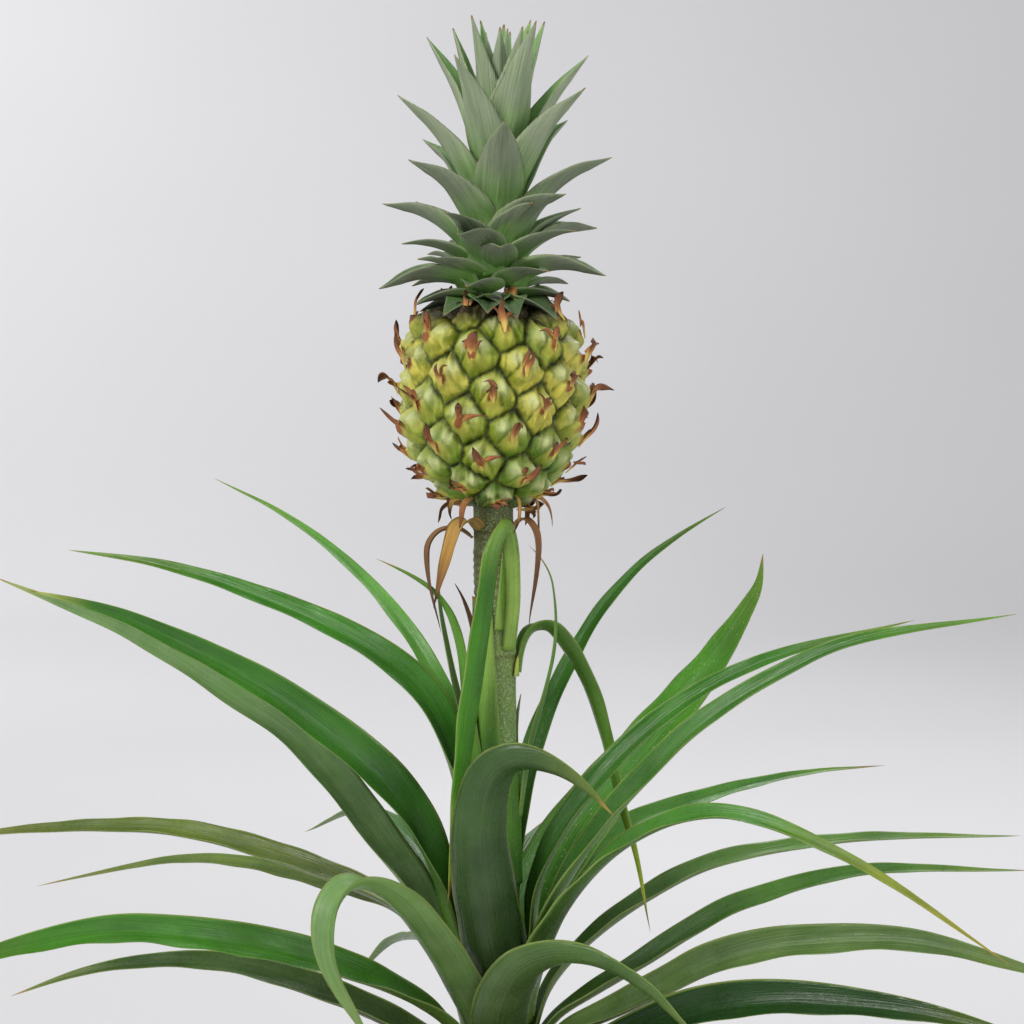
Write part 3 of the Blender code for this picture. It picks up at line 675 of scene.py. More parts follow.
# %% [markdown]
# ## The crown
#
# The tuft on top of a pineapple is a short plant of its own. Its leaves sit on a spiral, each one a
# golden turn further round than the last. Low leaves are short and hang over the fruit, middle
# leaves reach outwards, and the youngest stand upright in the heart.
# The frame has the leaves that stand apart; we grow the small lowest ones and the heart here, from
# a rule for the path of one leaf: it leaves the stem at one angle and bends to another.


# %% Crown leaves
def crown_look(number, low=0.0):
    chance = np.random.default_rng(300 + number)
    # low makes the lower crown leaves darker: painted shade beneath the crown's upper leaves.
    grey = np.array([144, 164, 136]) * (1 - 0.42 * low) + chance.uniform(-9, 9)
    inner = grey * np.array([0.76, 1.05, 0.6])
    dry, bloom = chance.uniform(0.4, 2.0), 0.5 - 0.2 * low
    made = look(inner, grey, dry, bloom, foot=0.25, tip=(176, 174, 136), tip_share=0.04)
    lime = np.array(paint(116, 176, 64))
    turning = lime * 0.7 + np.array(paint(*grey)) * 0.3
    for key in ("upper", "under"):
        stops = made[key]
        made[key] = [(0, lime), (0.22, turning), (0.5, stops[3][1])] + stops[4:]
    return made


CROWN_NODES = [n for n in LEAF_NODES if n.startswith("crown_leaf_")]
CROWN_BLADE = {"stations": 44, "thickness": 1.3, "crease": 1.1, "wave": 0.3, "swell": 0.1, "channel": 0.07}
LOW_BLADE = {"stations": 30, "thickness": 1.2, "crease": 0.7, "wave": 0.4, "swell": 0.1}
HEART_BLADE = {"stations": 34, "thickness": 1.1, "crease": 0.8, "wave": 0.25, "swell": 0.25}
for number, node in enumerate(CROWN_NODES):
    blade = fine_blade(ROWS[node], crown_look(number, 1 - number / 20), 60 + number, **CROWN_BLADE)
    leaf = put_blades(node + "_blade", [blade], CROWN_FINISH)
    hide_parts(node)


def outward(turn):
    """The level direction at a turn round the plant."""
    return np.array([math.cos(turn), math.sin(turn), 0.0])


def sprung_rows(foot, turn, length, width, lean, bend, hollow=0.22, tuck=0.0, steps=9):
    """Rows of a leaf that faces turn. It leaves foot at the angle lean from upright and bends by bend."""
    out, up = outward(turn), np.array([0.0, 0.0, 1.0])
    side = np.cross(up, out)
    share = np.linspace(0, 1, steps)
    angle = np.radians(lean + bend * share**1.2)
    step = length / (steps - 1)
    reach = np.concatenate([[0], np.cumsum(np.sin(angle[:-1]) * step)])
    rise = np.concatenate([[0], np.cumsum(np.cos(angle[:-1]) * step)])
    line = np.array(foot) + reach[:, None] * out + rise[:, None] * up
    upper = -np.cos(angle)[:, None] * out + np.sin(angle)[:, None] * up
    taper = np.clip((1 - share**1.5), 0.03, 1) ** 0.85
    belly = 0.82 + 0.18 * np.sin(np.pi * np.minimum(share * 1.6, 1))
    half = width / 2 * taper * belly
    u = np.linspace(-1, 1, 5)
    deep = hollow * 2 * half[:, None] * u[None] ** 2 + tuck
    return line[:, None] + side * (half[:, None] * u[None])[..., None] + upper[:, None] * deep[..., None]


# %% Lowest crown leaves and the heart
chance = np.random.default_rng(11)
HANGING, RISING, HEART = 10, 22, 11
fruit_low, fruit_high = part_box("fruit")
small = []
for number in range(-HANGING, RISING):
    turn = math.radians(64) + number * GOLDEN_TURN
    tier = max(0, number) / (RISING - 1)
    height = fruit_high.z + (-2.2 + 19 * tier) * MM
    foot = axis_at(height) + outward(turn) * (0.0105 - 0.005 * tier)
    length = (22 + 19 * tier + chance.uniform(-3, 3)) * MM
    lean = (90 if number < 0 else 82) - 48 * tier
    rows = sprung_rows(foot, turn, length, 19 * MM, lean, 42 + chance.uniform(-12, 14), hollow=0.16)
    small.append(fine_blade(rows, crown_look(40 + number, 1.0 - 0.5 * tier), 90 + number, **LOW_BLADE))
low_leaves = put_blades("crown_low_leaves", small, CROWN_FINISH)

heart = []
heart_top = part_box("crown_heart")[1].z
for number in range(HEART):
    turn = math.radians(30) + number * GOLDEN_TURN
    tier = number / (HEART - 1)
    foot = axis_at(heart_top - 0.058 + 0.010 * tier) + outward(turn) * (0.0066 - 0.0045 * tier)
    length = (56 - 13 * tier + chance.uniform(-4, 2)) * MM
    rows = sprung_rows(foot, turn, length, (19 - 6 * tier) * MM, 12 - 10 * tier, 8 - 6 * tier, hollow=0.24)
    heart.append(fine_blade(rows, crown_look(60 + number), 120 + number, **HEART_BLADE))
heart_leaves = put_blades("crown_heart_leaves", heart, CROWN_FINISH)
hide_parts("crown_heart")
print("crown leaves:", len(CROWN_NODES) + len(small) + len(heart))

# %% [markdown]
# ## The fruit
#
# A pineapple is many small fruits, the *eyes*, grown together on a spiral. Each eye is a rounded
# boss with two soft lobes above and a keel below, and a deep groove runs between it and its
# neighbours. We take a fine barrel, find the nearest two eyes for every point, and use the
# difference of the two distances: it is zero in the groove and grows towards the middle of an eye.


# %% Fruit body
EYES = 66
fruit_middle = (fruit_low + fruit_high) / 2
fruit_radius = max(fruit_high.x - fruit_low.x, fruit_high.y - fruit_low.y) / 2
fruit_height = fruit_high.z - fruit_low.z
WIDEST = 0.6


def fruit_outline(share):
    """Radius of the fruit as a share of its greatest, at a share of its height."""
    below = (1 - np.clip((WIDEST - share) / WIDEST, 0, 1) ** 2.5) ** 0.5
    above = (1 - np.clip((share - WIDEST) / (1 - WIDEST), 0, 1) ** 3.6) ** 0.5
    return np.where(share < WIDEST, below, above)


def fruit_point(share, turn):
    radius = fruit_radius * fruit_outline(share)
    x, y = fruit_middle.x + radius * np.cos(turn), fruit_middle.y + radius * np.sin(turn)
    return np.stack([x, y, fruit_low.z + fruit_height * share], axis=-1)


eye_share = 0.02 + 0.965 * (np.arange(EYES) + 0.5) / EYES
eye_turn = np.arange(EYES) * GOLDEN_TURN
eye_at = fruit_point(eye_share, eye_turn)
eye_side = np.stack([-np.sin(eye_turn), np.cos(eye_turn), 0 * eye_turn], axis=1)
over, below = np.minimum(eye_share + 0.02, 0.999), np.maximum(eye_share - 0.02, 0.001)
eye_up = unit(fruit_point(over, eye_turn) - fruit_point(below, eye_turn))
eye_out = unit(np.cross(eye_side, eye_up))
EYE_HALF = 8.6 * MM

around, levels = 400, 230
turn = np.linspace(0, 2 * np.pi, around, endpoint=False)
level = 0.5 - 0.5 * np.cos(np.linspace(0, np.pi, levels))
level = 0.5 * level + 0.5 * np.linspace(0, 1, levels)
turns, shares = np.meshgrid(turn, np.clip(level, 0.0005, 0.9995))
skin = fruit_point(shares, turns).reshape(-1, 3)
gap = np.linalg.norm(skin[:, None] - eye_at[None], axis=2)
order = np.argsort(gap, axis=1)[:, :2]
nearest, second = order[:, 0], order[:, 1]
rows_index = np.arange(len(skin))
ridge = (gap[rows_index, second] - gap[rows_index, nearest]) / MM
offset = skin - eye_at[nearest]
eye_u = (offset * eye_side[nearest]).sum(axis=1) / EYE_HALF
eye_v = (offset * eye_up[nearest]).sum(axis=1) / EYE_HALF
chance = np.random.default_rng(5)
tilt = chance.normal(0, 0.16, EYES)[nearest]
eye_u, eye_v = eye_u * np.cos(tilt) + eye_v * np.sin(tilt), eye_v * np.cos(tilt) - eye_u * np.sin(tilt)
boss = np.clip(ridge / 13, 0, 1) ** 0.62
lobes = sum(np.exp(-(((eye_u - s * 0.44) / 0.32) ** 2 + ((eye_v - 0.42) / 0.36) ** 2)) for s in (-1, 1))
furrow = np.exp(-((eye_u / 0.12) ** 2)) * np.clip((eye_v - 0.1) / 0.2, 0, 1)
climb = np.clip((eye_v + 0.95) / 1.05, 0, 1)
keel_half = 0.26 + 0.62 * (1 - climb)
keel_top = np.exp(-(np.maximum(eye_v - 0.08, 0) / 0.1) ** 2)
keel = np.clip(1 - (np.abs(eye_u) / keel_half) ** 1.5, 0, 1) * climb**1.3 * keel_top
seam_foot, seam_top = np.clip((eye_v + 0.7) / 0.3, 0, 1), np.clip((0.3 - eye_v) / 0.2, 0, 1)
seam = np.exp(-(((np.abs(eye_u) - keel_half) / 0.08) ** 2)) * seam_foot * seam_top
vigour = chance.uniform(0.72, 1.22, (3, EYES))[:, nearest]
wrinkle_at = zip(eye_u * 4.5, eye_v * 1.8, nearest * 5.1)
wrinkle = np.array([noise.noise(Vector(spot)) for spot in wrinkle_at])
height = -5.2 + 4.8 * boss * vigour[0] + wrinkle * 2.1
height += (1.7 * lobes * vigour[1] - 1.3 * furrow + 2.9 * keel * vigour[2] - 0.9 * seam) * np.clip(ridge / 4, 0, 1)
share = shares.ravel()
way = unit(np.stack([np.cos(turns).ravel(), np.sin(turns).ravel(), (share - 0.52) ** 3 * 6], axis=-1))
near_pole = np.clip(np.minimum(share, 1 - share) / 0.04, 0, 1)
points = skin + way * (height * near_pole)[:, None] * MM
faces = tube_faces(levels, around)
print("fruit points:", len(points), "eyes:", EYES)

# %% [markdown]
# The skin of the fruit is yellow-green on the bosses, olive in the grooves and greener on the lower
# eyes. The grooves are also darkened towards black as painted shade, and painted shade darkens the
# top under the crown and the very foot. The mesh carries the depth of the groove and the place
# within the eye; the finish turns them into colour and adds blotches, tiny pores and a waxy, uneven gloss.


# %% Fruit finish
def fruit_finish():
    material, tree, shader = new_material("fruit_rind")
    eye = add(tree, "ShaderNodeSeparateXYZ", {0: read(tree, "eye")}).outputs
    tone = add(tree, "ShaderNodeSeparateXYZ", {0: read(tree, "rind")}).outputs
    spots, place = spots_on(tree, 7 * MM)
    boss_colour = mixed(tree, stretched(tree, spots["Tone"], 0.15, 0.85), paint(134, 142, 16), paint(216, 208, 84))
    boss_colour = mixed(tree, tone[0], boss_colour, paint(96, 140, 12))
    lobe_glow = mixed(tree, sums(tree, "MULTIPLY", eye[1], 0.85), boss_colour, paint(214, 222, 158))
    # groove: olive darkened towards black, partly the rind's own colour and partly painted shade in the recesses
    # between the eyes.
    groove = mixed(tree, spots["Tone"], paint(18, 28, 2), paint(92, 108, 20))
    body = mixed(tree, stretched(tree, eye[0], 0.08, 0.46), groove, lobe_glow)
    keel = mixed(tree, sums(tree, "MULTIPLY", eye[2], 0.9), body, paint(236, 222, 104))
    rust = sums(tree, "MULTIPLY", tone[2], sums(tree, "ADD", spots["Tone"], 0.5))
    rusty = mixed(tree, stretched(tree, rust, 0.04, 0.4), keel, paint(150, 84, 36))
    shaded = mixed(tree, tone[1], rusty, paint(34, 26, 8))
    grained = mixed(tree, stretched(tree, spots["Grain"], 0.55, 1.0, 0.0, 0.35), shaded, paint(104, 96, 24))
    feed(tree, shader, grained, stretched(tree, spots["Grain"], 0, 1, 0.17, 0.38))
    pores = cloud(tree, place, 900.0, 3.0)
    emboss(tree, shader, sums(tree, "ADD", pores, sums(tree, "MULTIPLY", spots["Grain"], 1.2)), 0.45, 0.4 * MM)
    shader.inputs["Subsurface Weight"].default_value = 0.08
    shader.inputs["Subsurface Scale"].default_value = 0.004
    return material


FRUIT_FINISH = fruit_finish()
eye_tone = chance.uniform(0, 0.55, EYES)
low_green = np.clip((0.5 - share) * 1.7, 0, 0.85)
top_shade = np.clip((share - 0.85) / 0.07, 0, 1) * 0.96
low_shade = np.clip((0.07 - share) / 0.05, 0, 1) * 0.7
raised = boss * (1 - 0.6 * seam) * (1 - 0.4 * furrow)
greenness = np.clip(eye_tone[nearest] + low_green, 0, 1)
rust = np.clip(keel * 1.3 - 0.4 + 0.25 * wrinkle, 0, 1)
eye = np.stack([raised, np.clip(lobes, 0, 1), np.clip(keel * 1.3, 0, 1)], axis=1)
rind = np.stack([greenness, top_shade + low_shade, rust], axis=1)
carried = {"eye": ("FLOAT_VECTOR", eye), "rind": ("FLOAT_VECTOR", rind)}
fruit = put("fruit_body", points, faces, FRUIT_FINISH, carried)
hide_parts("fruit")
print("fruit:", len(faces), "faces, radius", round(fruit_radius, 4), "height", round(fruit_height, 4))

# %% [markdown]
# ## Bracts and withered flowers
#
# Below each eye sits a pointed leaf, the *bract*. It hugs the lower half of the eye as a yellow
# keel, then lifts away into a reddish-brown papery tip. The remains of the flower curl beside it.
# They are small blades as well, so the same blade builder makes them, only shorter and more curled.


# %% Bracts of the eyes
def strand(start, controls, widths, sideways, outwards, twist=0.0):
    """Rows of a small blade through control points given as (side, up, out) in millimetres."""
    side, up, out = sideways
    line = np.array([start + (side * a + up * b + out * c) * MM for a, b, c in controls])
    line = curve_through(line, 9)
    half = curve_through(np.array(widths, float).reshape(-1, 1), 9)[:, 0] * MM
    ahead = unit(np.gradient(line, axis=0))
    across = unit(np.cross(ahead, out) * -1 + side * 0.001)
    face = unit(np.cross(ahead, across))
    turn = (np.linspace(0, 1, 9) ** 2 * twist)[:, None]
    across, face = across * np.cos(turn) + face * np.sin(turn), face * np.cos(turn) - across * np.sin(turn)
    u = np.linspace(-1, 1, 5)
    keel = (1 - np.abs(u))[None] * half[:, None] * outwards
    return line[:, None] + across[:, None] * (half[:, None] * u[None])[..., None] + face[:, None] * keel[..., None]


def dried_look(dry, bloom, upper, under):
    """Look of a dried blade. A stop is a share of its length, then red, green and blue."""
    made = {"dry": dry, "bloom": bloom, "specks": 0.0}
    for key, stops in (("upper", upper), ("under", under)):
        made[key] = [(share, paint(*colour)) for share, *colour in stops]
    return made


EYE_BRACT = dried_look(
    1.5,
    0.14,
    [(0, 206, 204, 92), (0.26, 214, 184, 104), (0.42, 176, 116, 66), (0.66, 128, 70, 42), (1, 76, 38, 26)],
    [(0, 196, 192, 84), (0.26, 190, 156, 84), (0.42, 142, 88, 50), (0.66, 98, 52, 34), (1, 60, 30, 22)],
)
WITHERED = dried_look(
    1.0,
    0.2,
    [(0, 210, 174, 104), (0.4, 164, 98, 50), (1, 96, 46, 24)],
    [(0, 196, 160, 98), (0.4, 136, 78, 42), (1, 78, 38, 22)],
)
EYE_BLADE = {"stations": 26, "columns": 7, "thickness": 0.45, "crease": 0, "wave": 0.7}
FLOWER_BLADE = {"stations": 16, "columns": 5, "thickness": 0.3, "crease": 0, "wave": 0.5}
chance = np.random.default_rng(21)
bracts, withered = [], []
for k in range(EYES):
    axes = (eye_side[k], eye_up[k], eye_out[k])
    length = chance.uniform(5.5, 12.5)
    way = unit(np.array([chance.normal(0, 0.4), chance.uniform(0.5, 1.1), chance.uniform(0.15, 0.85)]))
    curl = np.array([chance.normal(0, 0.6), chance.normal(-0.1, 0.5), chance.normal(0.1, 0.5)])
    one = np.array([0, 0.9, 1.9])
    two = one + way * length * 0.4
    three = two + unit(way + curl) * length * 0.35
    four = three + unit(way + 2.2 * curl) * length * 0.3
    broad = chance.uniform(1.5, 2.4)
    widths = [0.35, broad * 0.8, broad * 0.85, broad * chance.uniform(0.5, 0.95), 0.15]
    controls = [(0, -3.4, 0.6), one, two, three, four]
    rows = strand(eye_at[k], controls, widths, axes, chance.uniform(0.3, 0.9), chance.normal(0, 1.5))
    bracts.append(fine_blade(rows, EYE_BRACT, 200 + k, **EYE_BLADE))
    for _ in range(int(chance.integers(1, 4))):
        lean, rise, out = chance.normal(0, 2.6), chance.uniform(1.0, 6.5), chance.uniform(1.0, 5.5)
        across, up, from_skin = start = (chance.normal(0, 1.1), chance.uniform(0.2, 2.2), 1.0)
        controls = [
            start,
            (across + lean * 0.3, up + rise * 0.4, from_skin + out * 0.4),
            (across + lean * 0.9, up + rise * 0.9, from_skin + out * 0.8),
            (across + lean * 1.8, up + rise * chance.uniform(0.4, 1.2), from_skin + out),
        ]
        rows = strand(eye_at[k], controls, [0.6, 1.2, 0.9, 0.1], axes, 0.6, chance.normal(0, 1.2))
        withered.append(fine_blade(rows, WITHERED, 320 + k, **FLOWER_BLADE))
eye_bracts = put_blades("fruit_eye_bracts", bracts, BRACT_FINISH)
flower_remains = put_blades("fruit_flower_remains", withered, BRACT_FINISH)
print("eye bracts:", len(bracts), "withered flowers:", len(withered))

# %% [markdown]
# ## Dried leaves below the fruit
#
# The small leaves that once wrapped the young flower head have dried and curl down under the fruit.
# Three of them come from the frame. Their finish is the same blade, in golden and dark browns.

# %% Dried bracts
BRACT_LOOKS = {
    "bract_gold": dried_look(
        6.0,
        0.12,
        [(0, 190, 158, 92), (0.5, 168, 128, 56), (0.75, 124, 84, 40), (1, 70, 42, 26)],
        [(0, 180, 150, 84), (0.5, 156, 118, 52), (0.75, 106, 72, 36), (1, 60, 36, 24)],
    ),
    "bract_brown_left": dried_look(
        5.0,
        0.12,
        [(0, 150, 110, 62), (0.6, 96, 62, 36), (1, 60, 40, 26)],
        [(0, 140, 100, 56), (0.6, 84, 54, 32), (1, 52, 34, 22)],
    ),
    "bract_brown_right": dried_look(
        5.0,
        0.12,
        [(0, 170, 124, 74), (0.5, 124, 76, 44), (1, 74, 46, 30)],
        [(0, 156, 112, 66), (0.5, 110, 68, 40), (1, 66, 42, 28)],
    ),
}
HANGING_BLADE = {"stations": 26, "columns": 7, "thickness": 0.4, "crease": 0, "wave": 0.6}
BRACT_BLADE = {"stations": 48, "columns": 9, "thickness": 0.5, "crease": 0.1, "wave": 0.5}
hanging = []
chance = np.random.default_rng(31)
for turn in np.radians([152, 178, 204, 238, 300, 334, 8, 40, 96]):
    axes = (outward(turn + math.pi / 2), np.array([0, 0, 1.0]), outward(turn))
    start = fruit_point(np.array(0.025 + 0.06 * chance.uniform()), np.array(turn))
    reach, drop, drift = chance.uniform(1, 7), chance.uniform(4, 15), chance.normal(0, 3.0)
    controls = [
        (0, 1.0, -1.5),
        (drift * 0.2, 0.3, reach * 0.4),
        (drift * 0.6, -drop * 0.25, reach * 0.9),
        (drift, -drop * 0.65, reach),
        (drift * 1.6, -drop, reach * chance.uniform(0.4, 1.1)),
    ]
    broad = chance.uniform(0.7, 1.7)
    widths = [broad, broad * 1.1, broad, broad * 0.7, 0.12]
    rows = strand(start, controls, widths, axes, 0.4, chance.normal(0, 1.0))
    colours = WITHERED if len(hanging) % 2 else BRACT_LOOKS["bract_gold"]
    hanging.append(fine_blade(rows, colours, 440 + len(hanging), **HANGING_BLADE))
foot_bracts = put_blades("fruit_foot_bracts", hanging, BRACT_FINISH)
for number, node in enumerate(sorted(BRACT_LOOKS)):
    blade = fine_blade(ROWS[node], BRACT_LOOKS[node], 400 + number, **BRACT_BLADE)
    dried = put_blades(node + "_blade", [blade], BRACT_FINISH)
    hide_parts(node)
print("dried bracts:", len(hanging) + len(BRACT_LOOKS))

# %% [markdown]
# ## Fruit stalk and leafy core
#
# The stalk that carries the fruit is ringed where leaves once grew, and pale scales cover it in
# specks. The core is the stub of stem that the leaves wrap; only glimpses of it show. Both are
# turned shapes along the plant's middle line, with rings and small bumps worked into the radius.


# %% Stem finish
def stem_finish(name, scurf, speck_amount):
    material, tree, shader = new_material(name)
    spots, place = spots_on(tree, 12 * MM)
    longwise = add(tree, "ShaderNodeVectorMath", {0: place, 1: (1500.0, 1500.0, 700.0)}, operation="MULTIPLY")
    dust = use(tree, POWDER, {"Fibre": longwise.outputs[0], "Amount": 0.3, "Speck Amount": 1.0})
    main = read(tree, "tint", "Color")
    darker, lighter = tinted(tree, main, (0.6, 0.7, 0.5, 1)), tinted(tree, main, (1.3, 1.25, 1.1, 1))
    base = mixed(tree, spots["Tone"], darker, lighter)
    flakes = sums(tree, "MAXIMUM", dust["Specks"], stretched(tree, spots["Grain"], 0.36, 1.0, 0.0, 0.85))
    amount = sums(tree, "MULTIPLY", read(tree, "scurfy", "Fac"), speck_amount)
    scales = sums(tree, "MULTIPLY", flakes, amount)
    powder = sums(tree, "MULTIPLY", dust["Bloom"], speck_amount)
    scaly = mixed(tree, sums(tree, "ADD", scales, powder), base, scurf)
    ringed = mixed(tree, read(tree, "ring", "Fac"), scaly, paint(104, 92, 46))
    feed(tree, shader, ringed, stretched(tree, spots["Grain"], 0, 1, 0.45, 0.7))
    emboss(tree, shader, sums(tree, "ADD", scales, spots["Grain"]), 0.7, 0.5 * MM)
    shader.inputs["Specular IOR Level"].default_value = 0.3
    return material


# %% Turned stems
def turned_stem(name, node, radii, rings, tones, material, seed, sides=96, levels=220, hidden=0.0):
    """A round stem along the plant's middle line between the ends of a node.

    radii is (share, radius) pairs, and tones is (height, colour, scurf) from the foot upwards.
    hidden is how far the top reaches into the piece above.
    """
    low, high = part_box(node)
    chance = np.random.default_rng(seed)
    share = np.linspace(0, 1, levels)
    height = low.z + share * (high.z - low.z + hidden)
    radius = np.interp(share, [r[0] for r in radii], [r[1] for r in radii])
    scar = sum(np.exp(-(((height - r) / (0.55 * MM)) ** 2)) for r in rings)
    bulge = sum(np.exp(-(((height - r - 1.4 * MM) / (1.6 * MM)) ** 2)) for r in rings)
    turn = np.linspace(0, 2 * np.pi, sides, endpoint=False)
    wobble = 0
    for k in (2, 3, 5):
        shift, pace = chance.uniform(0, 6), chance.uniform(20, 70)
        wobble = wobble + np.sin(k * turn[None] + shift + height[:, None] * pace) / k
    r = radius[:, None] + (bulge * 0.45 * MM - scar * 0.3 * MM)[:, None] + wobble * 0.12 * MM
    middle = np.array([axis_at(z) for z in height])
    points = middle[:, None] + np.stack([r * np.cos(turn), r * np.sin(turn), 0 * r], axis=-1)
    steps = [tone[0] for tone in tones]
    tint = np.stack([np.interp(height, steps, [tone[1][c] for tone in tones]) for c in range(4)], axis=1)
    scurfy = np.interp(height, steps, [tone[2] for tone in tones])
    carried = {
        "ring": ("FLOAT", np.repeat(np.clip(scar, 0, 1) * 0.7, sides)),
        "tint": ("FLOAT_COLOR", np.repeat(tint, sides, axis=0)),
        "scurfy": ("FLOAT", np.repeat(scurfy, sides)),
    }
    made = put(name, points.reshape(-1, 3), tube_faces(levels, sides), material, carried)
    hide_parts(node)
    return made


stalk_low, stalk_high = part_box("fruit_stalk")
core_low, core_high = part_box("leafy_core")
STALK_FINISH = stem_finish("stalk_skin", paint(186, 198, 150), 1.0)
CORE_FINISH = stem_finish("core_skin", paint(170, 178, 130), 0.3)
stalk_radius = (stalk_high.x - stalk_low.x - abs(AXIS[2][0] - AXIS[1][0])) / 2
head = stalk_high.z
stalk_tones = [
    (head - 170 * MM, paint(58, 118, 12), 0.2),
    (head - 112 * MM, paint(62, 120, 14), 0.4),
    (head - 92 * MM, paint(98, 148, 46), 0.9),
    (head - 36 * MM, paint(108, 138, 54), 1.0),
    (head - 33 * MM, paint(128, 134, 100), 0.3),
    (head - 20 * MM, paint(120, 124, 90), 0.3),
    (head - 18 * MM, paint(106, 98, 44), 0.9),
    (head - 3 * MM, paint(74, 84, 24), 0.6),
    # The top stop darkens the stalk towards near black where it enters the fruit: painted shade under the fruit.
    (head + 5 * MM, paint(40, 40, 10), 0.2),
]
stalk_rings = [head - d * MM for d in (8, 18, 21, 24, 27, 30, 34, 58, 98, 128)]
stalk_radii = [(0, stalk_radius), (1, stalk_radius)]
stalk = turned_stem(
    "fruit_stalk_stem", "fruit_stalk", stalk_radii, stalk_rings, stalk_tones, STALK_FINISH, 3, hidden=5 * MM
)
core_rings = list(np.arange(core_low.z + 8 * MM, core_high.z, 7 * MM))
core_tones = [(core_low.z, paint(120, 140, 72), 0.3), (core_high.z, paint(90, 130, 40), 0.3)]
core_radius = (core_high.x - core_low.x) / 2
core_radii = [(0, core_radius), (1, 0.65 * core_radius)]
core = turned_stem("leafy_core_stem", "leafy_core", core_radii, core_rings, core_tones, CORE_FINISH, 4, levels=160)
print("stalk radius", round(stalk_radius, 4), "rings", len(stalk_rings))

# %% [markdown]
# The foot of each stalk leaf wraps the stalk as a *sheath* and stays there, pale and smooth, when
# the leaf has grown away. A sheath is a blade as well, bent round the stalk: every row is a short
# arc just outside it. A last short bud and a dead leaf stand in the upper leaf joints.


# %% Sheaths
def wrapped_rows(low, high, first, last, gap, steps=9, flare=0.0):
    """Rows of a sheath between two heights.

    first and last are the turns of its two edges in degrees, each at the foot and at the top. gap is
    how far it stands off the stalk in millimetres, and flare is how much further at the top.
    """
    rows = []
    for share in np.linspace(0, 1, steps):
        height = low + (high - low) * share
        edges = [edge[0] + (edge[1] - edge[0]) * share for edge in (first, last)]
        turns = np.radians(np.linspace(*edges, 5))
        reach = stalk_radius + (gap + flare * share**3) * MM
        rows.append(axis_at(height) + np.stack([np.cos(turns) * reach, np.sin(turns) * reach, 0 * turns], axis=1))
    return np.array(rows)


def sheath_look(low, high, end):
    stops = [(0, paint(*low)), (0.6, paint(*high)), (0.93, paint(*high)), (1, paint(*end))]
    return {"upper": stops, "under": stops, "dry": 1.5, "bloom": 0.08, "specks": 0.25}


def sheath(below_head, first, last, gap, colours, seed, flare=0.0, **blade):
    """A sheath; below_head is how far its foot and top are below the head, in millimetres."""
    low, high = (head - d * MM for d in below_head)
    rows = wrapped_rows(low, high, first, last, gap, flare=flare)
    return fine_blade(rows, sheath_look(*colours), seed, crease=0, **blade)


LONG_SHEATH = {"stations": 40, "thickness": 0.7, "wave": 0.1}
DEEP_SHEATH = {"stations": 40, "thickness": 0.8, "wave": 0.1}
BUD = {"stations": 20, "thickness": 1.4, "wave": 0}
upper_left = ((46, 112, 10), (118, 158, 66), (150, 166, 96))
upper_right = ((128, 164, 72), (96, 150, 44), (120, 160, 70))
lower_right = ((52, 112, 12), (72, 126, 24), (130, 160, 70))
bud = ((150, 176, 84), (190, 200, 80), (200, 190, 90))
sheaths = [
    sheath((104, 34), (285, 262), (150, 176), 1.0, upper_left, 501, **LONG_SHEATH),
    sheath((47, 5), (372, 352), (268, 300), 0.9, upper_right, 502, **LONG_SHEATH),
    sheath((150, 96), (390, 350), (270, 290), 1.1, lower_right, 503, **DEEP_SHEATH),
    sheath((66, 57), (352, 336), (322, 334), 1.2, bud, 504, flare=1.0, **BUD),
]
left = axis_at(head - 62 * MM) + np.array([-stalk_radius, 0, 0])
stub = sprung_rows(left, math.radians(176), 30 * MM, 8 * MM, 4, 22, hollow=0.1)
stub_look = sheath_look((96, 146, 50), (84, 134, 44), (150, 170, 90))
sheaths.append(fine_blade(stub[:8], stub_look, 505, stations=30, thickness=0.8, crease=0.2, wave=0.3))
right = axis_at(head - 110 * MM) + np.array([stalk_radius, 0.003, 0])
young = sprung_rows(right, math.radians(20), 36 * MM, 11 * MM, -4, 16, hollow=0.1)
young_look = sheath_look((96, 140, 66), (124, 160, 98), (140, 160, 90))
sheaths.append(fine_blade(young, young_look, 506, stations=34, thickness=0.8, crease=0.3, wave=0.3))
stalk_sheaths = put_blades("stalk_sheaths", sheaths, LEAF_FINISH)
dead = sprung_rows(left + np.array([0, -0.004, 0.004]), math.radians(196), 31 * MM, 7 * MM, 6, 26, hollow=0.3)
dead_look = dried_look(
    4.0,
    0.1,
    [(0, 120, 74, 36), (0.5, 92, 50, 26), (1, 60, 34, 20)],
    [(0, 96, 56, 28), (1, 54, 30, 18)],
)
dead_blade = fine_blade(dead, dead_look, 507, stations=34, thickness=0.5, crease=0.2, wave=0.8)
dead_leaf = put_blades("stalk_dead_leaf", [dead_blade], BRACT_FINISH)
print("sheaths and buds:", len(sheaths))

# %% [markdown]
# ## The pot and its soil
#
# The pot is thin plastic, pressed in a mould: a tapering wall, a rolled rim and a foot with holes.
# Turning one outline round the middle makes it. The holes are cut with a Boolean.
# The soil is crumbly peat with bark and white grains of pumice: a bumpy disc for the body,
# and some hundred loose pieces laid on it.


# %% Pot
def pot_finish():
    material, tree, shader = new_material("pot_plastic")
    spots, _ = spots_on(tree, 30 * MM)
    clay = mixed(tree, spots["Tone"], paint(150, 84, 54), paint(172, 100, 66))
    worn = mixed(tree, stretched(tree, spots["Grain"], 0.5, 1.0, 0.0, 0.4), clay, paint(126, 72, 48))
    feed(tree, shader, worn, stretched(tree, spots["Grain"], 0, 1, 0.42, 0.6))
    emboss(tree, shader, spots["Grain"], 0.25, 0.3 * MM)
    return material


